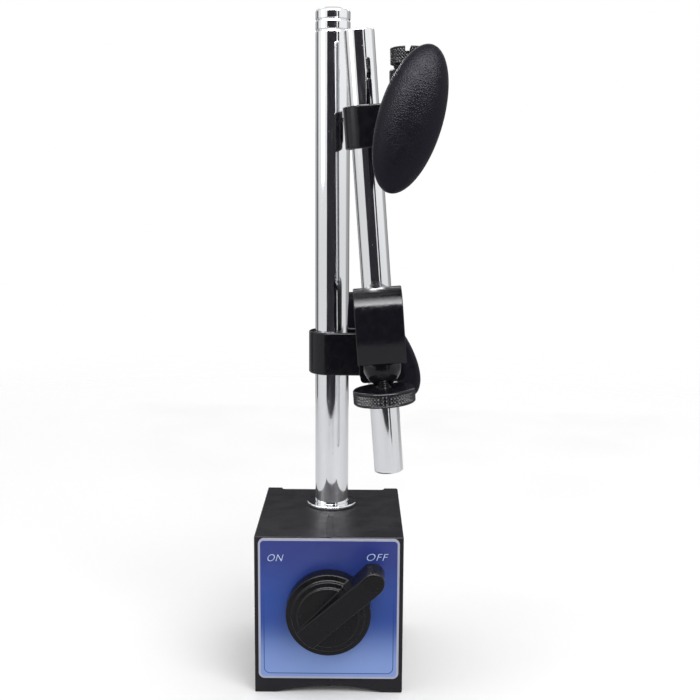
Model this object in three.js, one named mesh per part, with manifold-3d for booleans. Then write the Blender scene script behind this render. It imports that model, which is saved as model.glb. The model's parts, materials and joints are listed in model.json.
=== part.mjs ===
// Magnetic base with a main post, a fine-adjustment swivel clamp, a sub-post and an indicator holder,
// shown folded for storage. Millimetres. +X right, +Y away from the switch, +Z up.
// The origin is the centre of the base's left foot, on the surface that the base stands on. The model is
// drawn round the base's middle plane and moved there at the end.

import * as THREE from 'three';
import { mergeVertices } from 'three/addons/utils/BufferGeometryUtils.js';
import Module from 'manifold-3d';

const wasm = await Module();
wasm.setup();

// ---------------------------------------------------------------- driving dimensions

const GAP = 0.1; // between pieces that are fixed together
const RUNNING = 0.08; // radial play of a sliding or turning fit
const CLEAR = 0.3; // between faces that pass each other
const BOLT_PLAY = 0.15; // radial room round a clamping bolt
const THROUGH = 20; // half the length of a tool that cuts right through a small piece

const BASE_WIDTH = 50;
const BASE_DEPTH = 60;
const BASE_HEIGHT = 55;
const BASE_EDGE = 0.8; // chamfer on the long top edges
const ARCH_HALF_WIDTH = 18.3; // relief arch under the base, between the two pole faces
const ARCH_HEIGHT = 2.4;
const FOOT_X = 21.6; // from the base's middle plane to the centre of each foot
const BACK_RECESS = 2;
const BACK_PAD_WIDTH = 5.5;
const SEAM = 1.7; // gap between the two iron poles, filled by brass strips

const PLATE_WIDTH = 47.3;
const PLATE_HEIGHT = 49.2;
const PLATE_THICK = 0.8;
const PLATE_Z = 30;
const PLATE_CORNER = 2;

const ROTOR_Z = 30.3;
const BORE_R = 16.2;
const CAP_THICK = 4;
const ROTOR_R = 15.6;
const HUB_THICK = 1.5;
const MAGNET_THICK = 9.6;
const SHAFT_R = 4;
const SHAFT_REACH = 6.5; // into the knob
const TRACK_DEPTH = 2.2; // of the stop pin's groove in the front cap
const STOP_PIN_R = 1.2;
const STOP_PIN_CIRCLE = 10.5;
const SWITCH_TURN = Math.PI / 2;

const KNOB_SKIRT_R = 14.1;
const KNOB_FACE_R = 11.8;
const KNOB_SKIRT_HEIGHT = 5;
const KNOB_FACE_HEIGHT = 8;
const KNOB_BAR_HEIGHT = 16;
const KNOB_BAR_WIDTH = 8;
const KNOB_SHOULDER = 6; // level part of the crest, from the pointer's tip
const KNOB_TAIL_STEP = 0.5; // the crest's tail above the face
const KNOB_POINTER = 24.5; // from the axis to the pointer's tip
const POINTER_UNDERSIDE = 6.2;

const POST_R = 6;
const POST_Y = 9;
const POST_HEIGHT = 176;
const POST_GROOVES = [4.4, 7.9]; // below the top
const GROOVE_HALF = 0.35; // half the width of a groove, and its depth
const STUD_R = 4;
const STUD_REACH = 10;
const COLLAR_R = 8.95;
const COLLAR_THICK = 1.3;

const CLAMP_Z = 111.8; // the cross clamp's bolt
const BOLT_X = 17.3;
const STRAP_THICK = 2.2;
const STRAP_HEIGHT = 15.2;
const STRAP_OVERHANG = 7.5; // beyond the bolt
const STRAP_CORNER = 4.5;
const SHANK_R = 3;
const WASHER_R = 7;
const WASHER_THICK = 1.2;
const SPACER_THICK = 2.6;

const ROD_R = 5;
const ROD_Y = -12;
const ROD_TILT = 4.4 * Math.PI / 180; // the folded sub-post leans towards the main post
const ROD_BELOW = 38.6;
const ROD_LENGTH = 148;

const EYE_HALF_WIDTH = 7.5;
const EYE_HALF_DEPTH = 6.3;
const EYE_R = 6.3;
const EYE_DOME_START = 12.4;
const EYE_DOME = 6.4;
const EYE_HOLE_R = 5.35; // leaves the sub-post room for the fine tilt
const NECK_R = 4;
const NECK_ROOM = 0.6; // round the neck, for the spring's tilt

const SPRING_WIDTH = 15.7;
const SPRING_THICK = 2.2;
const SPRING_TOP = 26.5; // the crest, over the front bend
const SPRING_SLOPE = 6.5 * Math.PI / 180; // the top falls towards the back
const SPRING_FRONT = 22.4;
const SPRING_BEND_R = 8;
const SPRING_BACK = 9.1;
const SPRING_BACK_R = 4;
const SPRING_CURL_Z = 11; // below this the front leg curls back towards the eye bolt
const SPRING_CURL_R = 24;
const SPRING_LIP_Z = 2;
const SPRING_FOOT_Z = -6.6;

const THUMB_R = 10.2;
const THUMB_THICK = 4.9;
const THUMB_Y = 15.8; // in front of the sub-post's axis
const THUMB_TOP = -6.5;
const THUMB_SCREW_R = 1.95;
const THUMB_SCREW_TIP = 23.3;

const HOLDER_Z = 78.1; // along the sub-post, from the swivel
const HOLDER_BOLT_X = 13.5;
const HOLDER_STRAP_THICK = 2;
const HOLDER_STRAP_HEIGHT = 13.8;
const HOLDER_OVERHANG = 7;
const HOLDER_WASHER_R = 5.4;
const HOLDER_WASHER_THICK = 1;
const BOLT_HEAD_R = 5.2; // across the hexagon's corners, halved
const BOLT_HEAD_THICK = 4;
const STEM_BODY_R = 5.8;
const STEM_BODY_TOP = 16.2;
const STEM_BODY_BOTTOM = -8;
const STEM_HOLE_R = 4.1;
const STEM_HOLE_Z = 8.6;
const STEM_SCREW_R = 2.4;
const STEM_SCREW_HEAD_R = 5.5;
const STEM_SCREW_HEAD = 5.3;
const STEM_SCREW_NECK_R = 4.4;
const STEM_TURN = 3 * Math.PI / 180;

const OVAL_LENGTH = 46.4;
const OVAL_WIDTH = 20;
const OVAL_RIM = 5.5; // from the back face to the widest line
const OVAL_DEPTH = 12.5;
const OVAL_BOSS_R = 6.6;
const NUT_R = 4.6;
const NUT_LENGTH = 7;
const BOLT_SHORT = 0.6; // from a bolt's tip to the bottom of its nut
const FRONT_KNOB_TILT = 16.1 * Math.PI / 180;
const BACK_KNOB_TILT = -35 * Math.PI / 180;

const ROUND = 32; // segments of a full turn
const SMALL_ROUND = 24;
const POST_ROUND = 40;

// ---------------------------------------------------------------- closed geometry and booleans

// Leaves only positions, merges shared vertices, drops empty triangles and turns the faces outwards.
function closed(geometry) {
  geometry.deleteAttribute('normal');
  geometry.deleteAttribute('uv');
  const merged = mergeVertices(geometry, 1e-4);
  const index = merged.index.array;
  const point = merged.attributes.position;
  const kept = [];
  let volume = 0;
  const [a, b, c] = [new THREE.Vector3(), new THREE.Vector3(), new THREE.Vector3()];
  for (let i = 0; i < index.length; i += 3) {
    const [p, q, r] = [index[i], index[i + 1], index[i + 2]];
    if (p === q || q === r || r === p) continue;
    kept.push([p, q, r]);
    a.fromBufferAttribute(point, p);
    b.fromBufferAttribute(point, q);
    c.fromBufferAttribute(point, r);
    volume += a.dot(b.cross(c));
  }
  const order = volume > 0 ? kept : kept.map(([p, q, r]) => [p, r, q]);
  merged.setIndex(order.flat());
  return merged;
}

function toSolid(geometry) {
  const mesh = closed(geometry);
  return new wasm.Manifold(new wasm.Mesh({
    numProp: 3,
    vertProperties: new Float32Array(mesh.attributes.position.array),
    triVerts: new Uint32Array(mesh.index.array),
  }));
}

function toGeometry(solid) {
  const mesh = solid.getMesh();
  const geometry = new THREE.BufferGeometry();
  geometry.setAttribute('position', new THREE.Float32BufferAttribute(mesh.vertProperties, 3));
  geometry.setIndex(new THREE.Uint32BufferAttribute(mesh.triVerts, 1));
  return geometry;
}

function join(...geometries) {
  return toGeometry(geometries.map(toSolid).reduce((sum, next) => sum.add(next)));
}

function cut(geometry, ...tools) {
  return toGeometry(tools.map(toSolid).reduce((sum, next) => sum.subtract(next), toSolid(geometry)));
}

function common(geometry, tool) {
  return toGeometry(toSolid(geometry).intersect(toSolid(tool)));
}

// ---------------------------------------------------------------- simple shapes, placed where they belong

function block(x0, x1, y0, y1, z0, z1) {
  const box = new THREE.BoxGeometry(x1 - x0, y1 - y0, z1 - z0);
  return box.translate((x0 + x1) / 2, (y0 + y1) / 2, (z0 + z1) / 2);
}

// A turned solid about Z, from [radius, height] pairs. The profile starts and ends on the axis.
function turned(profile, segments = ROUND) {
  const points = profile.map(([radius, height]) => new THREE.Vector2(radius, height));
  return new THREE.LatheGeometry(points, segments).rotateX(Math.PI / 2);
}

// The same about an axis along Y: heights become distances in front, towards -Y.
function turnedForward(profile, segments = ROUND) {
  return turned(profile, segments).rotateX(Math.PI / 2);
}

function roundBar(radius, from, to, segments = ROUND) {
  return turned([[0, from], [radius, from], [radius, to], [0, to]], segments);
}

function barAlongY(radius, y0, y1, segments = ROUND) {
  return turnedForward([[0, -y1], [radius, -y1], [radius, -y0], [0, -y0]], segments);
}

function barAlongX(radius, x0, x1, segments = ROUND) {
  return roundBar(radius, x0, x1, segments).rotateY(Math.PI / 2);
}

// A flat ring about an axis along Y.
function ringAlongY(inner, outer, y0, y1, segments = ROUND) {
  const profile = [[inner, -y1], [outer, -y1], [outer, -y0], [inner, -y0], [inner, -y1]];
  return turnedForward(profile, segments);
}

// A shape drawn in X and Z, given thickness from y0 to y1.
function plateAlongY(shape, y0, y1, curveSegments = 12) {
  const plate = new THREE.ExtrudeGeometry(shape, { depth: y1 - y0, bevelEnabled: false, curveSegments });
  return plate.rotateX(Math.PI / 2).translate(0, y1, 0);
}

function roundedRectangle(halfWidth, halfHeight, radius) {
  const shape = new THREE.Shape();
  shape.moveTo(halfWidth - radius, -halfHeight);
  shape.absarc(halfWidth - radius, radius - halfHeight, radius, -Math.PI / 2, 0);
  shape.absarc(halfWidth - radius, halfHeight - radius, radius, 0, Math.PI / 2);
  shape.absarc(radius - halfWidth, halfHeight - radius, radius, Math.PI / 2, Math.PI);
  shape.absarc(radius - halfWidth, radius - halfHeight, radius, Math.PI, Math.PI * 1.5);
  return shape;
}

// ---------------------------------------------------------------- materials

function finish(color, roughness, metalness) {
  return new THREE.MeshStandardMaterial({ color, roughness, metalness });
}

const paint = () => finish(0x17181c, 0.45, 0.1);
const iron = () => finish(0x5a5c60, 0.5, 0.9);
const chromed = () => finish(0xd8dade, 0.08, 1);
const blackOxide = () => finish(0x141416, 0.3, 0.6);
const brassed = () => finish(0xb08d45, 0.35, 1);
const aluminium = () => finish(0xb5b8bd, 0.4, 1);
const printedBlue = () => finish(0x2f57c8, 0.3, 0);
const blackPlastic = () => finish(0x161618, 0.55, 0);
const magnetic = () => finish(0x6b6d72, 0.35, 0.8);

const model = new THREE.Group();

function addNode(parent, name, geometry, material) {
  const node = new THREE.Mesh(closed(geometry), material);
  node.name = name;
  parent.add(node);
  return node;
}

function addGroup(parent, x, y, z) {
  const group = new THREE.Group();
  group.position.set(x, y, z);
  parent.add(group);
  return group;
}

// ---------------------------------------------------------------- magnetic base

const FRONT = -BASE_DEPTH / 2;
const BACK = BASE_DEPTH / 2;
const IRON_FRONT = FRONT + PLATE_THICK;
const IRON_BACK = BACK - BACK_RECESS;
const CAP_BACK = IRON_FRONT + CAP_THICK; // inner face of the front bearing cap
const REAR_CAP_FRONT = IRON_BACK - CAP_THICK;

function baseOutline() {
  const half = BASE_WIDTH / 2;
  const archR = (ARCH_HALF_WIDTH ** 2 + ARCH_HEIGHT ** 2) / (2 * ARCH_HEIGHT);
  const archAngle = Math.asin(ARCH_HALF_WIDTH / archR);
  const shape = new THREE.Shape();
  shape.moveTo(half, 0);
  shape.lineTo(half, BASE_HEIGHT - BASE_EDGE);
  shape.lineTo(half - BASE_EDGE, BASE_HEIGHT);
  shape.lineTo(BASE_EDGE - half, BASE_HEIGHT);
  shape.lineTo(-half, BASE_HEIGHT - BASE_EDGE);
  shape.lineTo(-half, 0);
  shape.lineTo(-ARCH_HALF_WIDTH, 0);
  const middle = Math.PI / 2;
  shape.absarc(0, ARCH_HEIGHT - archR, archR, middle + archAngle, middle - archAngle, true);
  return shape;
}

// Both poles in one, with the rotor's bore, the recess at the back and the hole for the post's stud.
function ironBody() {
  const body = plateAlongY(baseOutline(), IRON_FRONT, BACK, 16);
  const recess = BASE_WIDTH / 2 - BACK_PAD_WIDTH;
  const bore = barAlongY(BORE_R, FRONT - 1, BACK + 1, POST_ROUND).translate(0, 0, ROTOR_Z);
  const stud = roundBar(STUD_R + GAP, ROTOR_Z, BASE_HEIGHT + 1, SMALL_ROUND).translate(0, POST_Y, 0);
  return cut(body, bore, stud, block(-recess, recess, IRON_BACK, BACK + 1, -1, BASE_HEIGHT + 1));
}

function addPoles() {
  const body = ironBody();
  const far = BASE_WIDTH;
  const left = block(-far, -SEAM / 2, -far, far, -far, 2 * far);
  const right = block(SEAM / 2, far, -far, far, -far, 2 * far);
  const holes = coverHoles();
  addNode(model, 'pole_left', cut(common(body, left), holes[0]), paint());
  addNode(model, 'pole_right', cut(common(body, right), holes[1]), paint());
}

function addSeparators() {
  const half = SEAM / 2 - GAP;
  const stud = STUD_R + CLEAR;
  const top = ROTOR_Z + BORE_R + CLEAR;
  const [front, back] = [IRON_FRONT + GAP, IRON_BACK - GAP];
  const under = BASE_HEIGHT - GAP;
  addNode(model, 'separator_top_front', block(-half, half, front, POST_Y - stud, top, under), brassed());
  addNode(model, 'separator_top_rear', block(-half, half, POST_Y + stud, back, top, under), brassed());
  const foot = ROTOR_Z - BORE_R - CLEAR;
  addNode(model, 'separator_bottom', block(-half, half, front, back, ARCH_HEIGHT + GAP, foot), brassed());
}

// The stop pin's track: an arc about the switch's axis, wide enough for the pin.
function stopTrack(y0, y1) {
  const half = STOP_PIN_R + CLEAR;
  const [inner, outer] = [STOP_PIN_CIRCLE - half, STOP_PIN_CIRCLE + half];
  const margin = half / STOP_PIN_CIRCLE;
  const [from, to] = [-SWITCH_TURN / 2 - margin, SWITCH_TURN / 2 + margin];
  const shape = new THREE.Shape();
  shape.absarc(0, 0, outer, from, to);
  shape.absarc(0, 0, inner, to, from, true);
  return plateAlongY(shape, y0, y1, 20).translate(0, 0, ROTOR_Z);
}

function addLabelPlate() {
  const outline = roundedRectangle(PLATE_WIDTH / 2, PLATE_HEIGHT / 2, PLATE_CORNER);
  const sheet = plateAlongY(outline, FRONT, IRON_FRONT - GAP / 2, 6).translate(0, 0, PLATE_Z);
  const shaftHole = barAlongY(SHAFT_R + CLEAR, FRONT - 1, IRON_FRONT + 1, SMALL_ROUND);
  const cuts = [shaftHole.translate(0, 0, ROTOR_Z), stopTrack(FRONT - 1, IRON_FRONT + 1)];
  addNode(model, 'label_plate', cut(sheet, ...cuts), printedBlue());
}

function addBearingCaps() {
  const radius = BORE_R - GAP;
  const front = ringAlongY(SHAFT_R + RUNNING, radius, IRON_FRONT + GAP / 2, CAP_BACK);
  const track = stopTrack(FRONT, IRON_FRONT + TRACK_DEPTH);
  const placed = front.translate(0, 0, ROTOR_Z);
  addNode(model, 'front_bearing_cap', cut(placed, track), aluminium());
  const rear = ringAlongY(SHAFT_R + RUNNING, radius, REAR_CAP_FRONT, IRON_BACK - GAP);
  addNode(model, 'rear_bearing_cap', rear.translate(0, 0, ROTOR_Z), aluminium());
}

const COVER_SCREW_X = 15.5;
const COVER_SCREW_RISE = 18.5;
const COVER_SCREW_R = 1.45;
const COVER_SCREW_LENGTH = 6;
const COVER_THICK = 1.2;

function coverScrewPlaces() {
  return [[-COVER_SCREW_X, ROTOR_Z - COVER_SCREW_RISE], [COVER_SCREW_X, ROTOR_Z + COVER_SCREW_RISE]];
}

function coverHoles() {
  const bottom = IRON_BACK - COVER_SCREW_LENGTH - 1;
  return coverScrewPlaces().map(([x, z]) =>
    barAlongY(COVER_SCREW_R + GAP, bottom, BACK, SMALL_ROUND).translate(x, 0, z));
}

// The sheet that closes the bore at the back, held by two pan-head screws.
function addBackCover() {
  const near = IRON_BACK + GAP;
  const far = near + COVER_THICK;
  const [halfWidth, halfHeight, corner] = [18.6, 23, 2];
  const sheet = plateAlongY(roundedRectangle(halfWidth, halfHeight, corner), near, far, 6);
  const cover = sheet.translate(0, 0, ROTOR_Z);
  addNode(model, 'back_cover', cut(cover, ...coverHoles()), aluminium());
  const [headR, headHeight] = [2.7, 1.4];
  coverScrewPlaces().forEach(([x, z], i) => {
    const top = -(far + GAP + headHeight);
    const profile = [[0, top], [headR - 0.6, top], [headR, top + 0.7], [headR, top + headHeight]];
    const tip = top + headHeight + COVER_SCREW_LENGTH;
    profile.push([COVER_SCREW_R, top + headHeight], [COVER_SCREW_R, tip], [0, tip]);
    const screw = turnedForward(profile, SMALL_ROUND).translate(x, 0, z);
    const slot = block(x - headR, x + headR, -top - 0.6, -top + 1, z - 0.4, z + 0.4);
    addNode(model, `cover_screw_${i + 1}`, cut(screw, slot), chromed());
  });
}

// ---------------------------------------------------------------- switch and magnet rotor

function addRotor() {
  const rotor = addGroup(model, 0, 0, ROTOR_Z);
  const front = CAP_BACK + CLEAR;
  const back = REAR_CAP_FRONT - CLEAR;
  const frontHub = [[0, -front - HUB_THICK], [ROTOR_R, -front - HUB_THICK], [ROTOR_R, -front]];
  frontHub.push([SHAFT_R, -front], [SHAFT_R, -FRONT + SHAFT_REACH], [0, -FRONT + SHAFT_REACH]);
  addNode(rotor, 'rotor_front_hub', turnedForward(frontHub), iron());
  const rearHub = [[0, -IRON_BACK + CLEAR], [SHAFT_R, -IRON_BACK + CLEAR], [SHAFT_R, -back]];
  rearHub.push([ROTOR_R, -back], [ROTOR_R, HUB_THICK - back], [0, HUB_THICK - back]);
  addNode(rotor, 'rotor_rear_hub', turnedForward(rearHub), iron());

  const [y0, y1] = [front + HUB_THICK + GAP, back - HUB_THICK - GAP];
  const round = () => barAlongY(ROTOR_R, y0, y1);
  const half = MAGNET_THICK / 2;
  const wide = 2 * ROTOR_R;
  const middle = block(-wide, wide, y0 - 1, y1 + 1, -half, half);
  addNode(rotor, 'rotor_magnet', common(round(), middle), magnetic());
  const above = block(-wide, wide, y0 - 1, y1 + 1, half + GAP, wide);
  const below = block(-wide, wide, y0 - 1, y1 + 1, -wide, -half - GAP);
  addNode(rotor, 'rotor_shoe_upper', common(round(), above), iron());
  addNode(rotor, 'rotor_shoe_lower', common(round(), below), iron());
  return rotor;
}

// The grip bar, drawn pointing along +X. Its tail is trimmed by the knob's face circle.
function gripBar() {
  const half = KNOB_BAR_WIDTH / 2;
  const tail = Math.sqrt(KNOB_FACE_R ** 2 - half ** 2);
  const tailAngle = Math.atan2(half, tail);
  const shape = new THREE.Shape();
  shape.moveTo(-tail, -half);
  shape.lineTo(KNOB_POINTER - half, -half);
  shape.absarc(KNOB_POINTER - half, 0, half, -Math.PI / 2, Math.PI / 2);
  shape.lineTo(-tail, half);
  shape.absarc(0, 0, KNOB_FACE_R, Math.PI - tailAngle, Math.PI + tailAngle);
  return shape;
}

// Cut off the bar, so that its crest falls from the pointer's shoulder to the face at its tail.
function aboveCrest(back) {
  const shoulder = KNOB_POINTER - KNOB_SHOULDER;
  const [crest, foot] = [-back - KNOB_BAR_HEIGHT, -back - KNOB_FACE_HEIGHT - KNOB_TAIL_STEP];
  const shape = new THREE.Shape();
  shape.moveTo(shoulder, crest);
  shape.lineTo(-KNOB_FACE_R, foot);
  shape.lineTo(-KNOB_FACE_R - 1, foot);
  shape.lineTo(-KNOB_FACE_R - 1, crest - 1);
  shape.lineTo(shoulder, crest - 1);
  const width = KNOB_BAR_WIDTH + 2;
  const wedge = new THREE.ExtrudeGeometry(shape, { depth: width, bevelEnabled: false });
  return wedge.translate(0, 0, -width / 2);
}

function addSwitchKnob(rotor) {
  const lift = CLEAR;
  const back = -FRONT + lift;
  const skirt = [[0, back], [KNOB_SKIRT_R, back], [KNOB_SKIRT_R, back + KNOB_SKIRT_HEIGHT]];
  skirt.push([KNOB_SKIRT_R - 1, back + KNOB_SKIRT_HEIGHT + 1], [KNOB_FACE_R, back + KNOB_FACE_HEIGHT - 0.6]);
  skirt.push([KNOB_FACE_R - 0.7, back + KNOB_FACE_HEIGHT], [0, back + KNOB_FACE_HEIGHT]);
  const level = plateAlongY(gripBar(), -back - KNOB_BAR_HEIGHT, -back - POINTER_UNDERSIDE);
  const bar = cut(level, aboveCrest(back)).rotateY(-Math.PI / 4);
  const shaftHole = barAlongY(SHAFT_R + GAP, FRONT - SHAFT_REACH - CLEAR, FRONT + 1, SMALL_ROUND);
  const pinDepth = 3;
  const pinHole = barAlongY(STOP_PIN_R + GAP, FRONT - pinDepth - GAP, FRONT + 1, 20);
  placeStopPin(pinHole);
  const knob = cut(join(turnedForward(skirt, POST_ROUND), bar), shaftHole, pinHole);
  addNode(rotor, 'switch_knob', knob, blackPlastic());
  const pin = barAlongY(STOP_PIN_R, FRONT - pinDepth, IRON_FRONT + 1.5, 20);
  addNode(rotor, 'stop_pin', placeStopPin(pin), iron());
}

// At rest, switched off, the pin is at the lower end of its track.
function placeStopPin(geometry) {
  return geometry.translate(STOP_PIN_CIRCLE, 0, 0).rotateY(SWITCH_TURN / 2);
}

// ---------------------------------------------------------------- main post

function postProfile() {
  const bottom = BASE_HEIGHT + GAP;
  const top = BASE_HEIGHT + POST_HEIGHT;
  const [footChamfer, dome, shoulder] = [0.8, 0.7, 1.4];
  const profile = [[0, bottom], [POST_R - footChamfer, bottom], [POST_R, bottom + footChamfer]];
  for (const below of [...POST_GROOVES].reverse()) {
    const z = top - below;
    profile.push([POST_R, z - GROOVE_HALF], [POST_R - GROOVE_HALF, z], [POST_R, z + GROOVE_HALF]);
  }
  profile.push([POST_R, top - shoulder], [POST_R - 0.5, top - dome], [POST_R - 1.8, top - 0.2], [0, top]);
  return profile;
}

function addMainPost() {
  const post = addGroup(model, 0, POST_Y, 0);
  const stud = BASE_HEIGHT + STUD_REACH;
  const bore = roundBar(STUD_R + GAP, 0, stud + GAP, SMALL_ROUND);
  addNode(post, 'main_post', cut(turned(postProfile(), POST_ROUND), bore), chromed());
  const floor = ROTOR_Z + BORE_R + 0.8;
  addNode(post, 'post_stud', roundBar(STUD_R, floor, stud, SMALL_ROUND), iron());
  const top = BASE_HEIGHT + COLLAR_THICK;
  const collar = [[POST_R + RUNNING, BASE_HEIGHT + GAP / 2], [COLLAR_R, BASE_HEIGHT + GAP / 2]];
  collar.push([COLLAR_R, top - 0.5], [COLLAR_R - 0.5, top], [POST_R + RUNNING, top], collar[0]);
  addNode(post, 'post_collar', turned(collar), chromed());
}

// ---------------------------------------------------------------- U-shaped clamp straps

// A strip bent round a bar on the Z axis, its two legs running to +X and drilled across for the bolt.
// The legs end overhang beyond the bolt, with rounded corners.
function clampStrap(barR, thick, height, boltX, overhang) {
  const inner = barR + RUNNING;
  const outer = inner + thick;
  const end = boltX + overhang;
  const quarter = Math.PI / 2;
  const shape = new THREE.Shape();
  shape.moveTo(end, -outer);
  shape.lineTo(0, -outer);
  shape.absarc(0, 0, outer, -quarter, quarter, true);
  shape.lineTo(end, outer);
  shape.lineTo(end, inner);
  shape.lineTo(0, inner);
  shape.absarc(0, 0, inner, quarter, -quarter, false);
  shape.lineTo(end, -inner);
  const strip = new THREE.ExtrudeGeometry(shape, { depth: height, bevelEnabled: false, curveSegments: 22 });
  strip.translate(0, 0, -height / 2);
  const half = height / 2;
  const corner = STRAP_CORNER;
  const side = new THREE.Shape();
  side.moveTo(-outer - 1, -half - 1);
  side.lineTo(end - corner, -half - 1);
  side.lineTo(end - corner, -half);
  side.absarc(end - corner, corner - half, corner, -quarter, 0);
  side.absarc(end - corner, half - corner, corner, 0, quarter);
  side.lineTo(end - corner, half + 1);
  side.lineTo(-outer - 1, half + 1);
  const trimmed = common(strip, plateAlongY(side, -outer - 1, outer + 1, 6));
  const hole = barAlongY(SHANK_R + BOLT_PLAY, -outer - 1, outer + 1, SMALL_ROUND).translate(boltX, 0, 0);
  return cut(trimmed, hole);
}

// Front and back faces of the cross clamp's strap, measured from the sub-post's axis.
const STRAP_OUTER = POST_R + RUNNING + STRAP_THICK;
const STRAP_FRONT = POST_Y - STRAP_OUTER - ROD_Y;
const STRAP_REAR = POST_Y + STRAP_OUTER - ROD_Y;
const CROSS_KNOB_FACE = STRAP_REAR + WASHER_THICK + 2 * CLEAR;

function addCrossClamp() {
  const strap = addGroup(model, 0, POST_Y, CLAMP_Z);
  const geometry = clampStrap(POST_R, STRAP_THICK, STRAP_HEIGHT, BOLT_X, STRAP_OVERHANG);
  addNode(strap, 'cross_strap', geometry, blackOxide());
  const bolt = addGroup(model, BOLT_X, ROD_Y, CLAMP_Z);
  const spacerBack = STRAP_FRONT - GAP;
  const spacer = ringAlongY(NECK_R + BOLT_PLAY, WASHER_R, spacerBack - SPACER_THICK, spacerBack);
  addNode(bolt, 'swivel_spacer', spacer, blackOxide());
  const washerFront = STRAP_REAR + CLEAR;
  const washer = ringAlongY(SHANK_R + BOLT_PLAY, WASHER_R, washerFront, washerFront + WASHER_THICK);
  addNode(bolt, 'cross_washer', washer, chromed());
}

// ---------------------------------------------------------------- oval clamp knobs

// Pebble-shaped knob about Y. Its back face is at Y = 0 and its crown points to -Y.
function ovalKnob(tilt) {
  const crown = OVAL_DEPTH - OVAL_RIM;
  // [share of the full size, height above the back face]
  const profile = [[0, 1.2], [0.86, 1.2], [0.95, 2.2], [0.99, 3.8], [1, OVAL_RIM]];
  const steps = 6;
  for (let i = 1; i <= steps; i++) {
    const angle = (i / steps) * Math.PI / 2;
    profile.push([Math.cos(angle), OVAL_RIM + crown * Math.sin(angle)]);
  }
  const pebble = turnedForward(profile).scale(OVAL_WIDTH / 2, 1, OVAL_LENGTH / 2);
  pebble.rotateY(tilt);
  const boss = barAlongY(OVAL_BOSS_R, -2, 0);
  const socketDepth = NUT_LENGTH + 2 * GAP;
  const socket = barAlongY(NUT_R + GAP, -socketDepth, 1, SMALL_ROUND);
  return cut(join(pebble, boss), socket);
}

function knobNut() {
  return ringAlongY(SHANK_R + RUNNING, NUT_R, -NUT_LENGTH - GAP, -GAP, SMALL_ROUND);
}

function addCrossKnob() {
  const knob = addGroup(model, BOLT_X, ROD_Y + CROSS_KNOB_FACE, CLAMP_Z);
  knob.rotation.z = Math.PI;
  addNode(knob, 'cross_knob', ovalKnob(-BACK_KNOB_TILT), blackPlastic());
  addNode(knob, 'cross_knob_nut', knobNut(), brassed());
}

// ---------------------------------------------------------------- swivel, fine-adjustment spring, sub-post

// X across, Y away, Z along the sub-post, with the origin where the bolt's axis meets it.
function addArm() {
  const arm = addGroup(model, BOLT_X, ROD_Y, CLAMP_Z);
  arm.rotation.y = -ROD_TILT;
  return arm;
}

// Eye bolt: domed head with a cross hole for the sub-post, then a neck and a long threaded shank.
function addEyeBolt(arm) {
  const shankEnd = CROSS_KNOB_FACE + NUT_LENGTH - BOLT_SHORT;
  const profile = [[0, -shankEnd], [SHANK_R - 0.5, -shankEnd], [SHANK_R, 0.5 - shankEnd]];
  profile.push([SHANK_R, -STRAP_FRONT], [NECK_R, -STRAP_FRONT], [NECK_R, -EYE_HALF_DEPTH + 1]);
  profile.push([EYE_R, -EYE_HALF_DEPTH + 1], [EYE_R, EYE_DOME_START]);
  const steps = 6;
  for (let i = 1; i <= steps; i++) {
    const angle = (i / steps) * Math.PI / 2;
    profile.push([EYE_R * Math.cos(angle), EYE_DOME_START + EYE_DOME * Math.sin(angle)]);
  }
  const eye = roundedRectangle(EYE_HALF_WIDTH, EYE_R, 1.5);
  const body = join(turnedForward(profile), plateAlongY(eye, -EYE_HALF_DEPTH, EYE_HALF_DEPTH, 3));
  const rodHole = roundBar(EYE_HOLE_R, -THROUGH, THROUGH);
  const screwR = THUMB_SCREW_R + RUNNING;
  const screwHole = roundBar(screwR, -THROUGH, THROUGH, SMALL_ROUND).translate(0, -THUMB_Y, 0);
  addNode(arm, 'eye_bolt', cut(body, rodHole, screwHole), blackOxide());
}

// One face of the bent spring strip seen from the side, inset from its outer face. The shape's x is the
// arm's Y and its y is the height: up the curled front leg, over both bends and down the back leg.
function springOutline(inset) {
  const front = SPRING_FRONT - inset;
  const back = SPRING_BACK - inset;
  const top = SPRING_TOP - inset;
  const frontR = SPRING_BEND_R - inset;
  const backR = SPRING_BACK_R - inset;
  const curlR = SPRING_CURL_R - inset;
  const curl = Math.asin((SPRING_CURL_Z - SPRING_LIP_Z) / SPRING_CURL_R);
  const crest = Math.PI / 2 - SPRING_SLOPE; // direction square to the sloping top
  const drop = (back - backR + front - frontR) * Math.tan(SPRING_SLOPE);
  const backCentreZ = top - frontR - drop + (frontR - backR) / Math.cos(SPRING_SLOPE);
  const path = new THREE.Path();
  path.absarc(curlR - front, SPRING_CURL_Z, curlR, Math.PI + curl, Math.PI, true);
  path.absarc(frontR - front, top - frontR, frontR, Math.PI, crest, true);
  path.absarc(back - backR, backCentreZ, backR, crest, 0, true);
  path.lineTo(back, SPRING_FOOT_Z);
  return path.getPoints(10);
}

function addFineSpring(arm) {
  const outline = [...springOutline(0), ...springOutline(SPRING_THICK).reverse()];
  const shape = new THREE.Shape(outline);
  const strip = new THREE.ExtrudeGeometry(shape, { depth: SPRING_WIDTH, bevelEnabled: false });
  strip.translate(0, 0, -SPRING_WIDTH / 2).rotateX(Math.PI / 2).rotateZ(Math.PI / 2);
  const rodHole = roundBar(ROD_R + RUNNING, SPRING_BEND_R, SPRING_TOP + 1);
  const neckHole = barAlongY(NECK_R + NECK_ROOM, EYE_HALF_DEPTH, SPRING_BACK + 1, SMALL_ROUND);
  addNode(arm, 'fine_spring', cut(strip, rodHole, neckHole), blackOxide());
}

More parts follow.
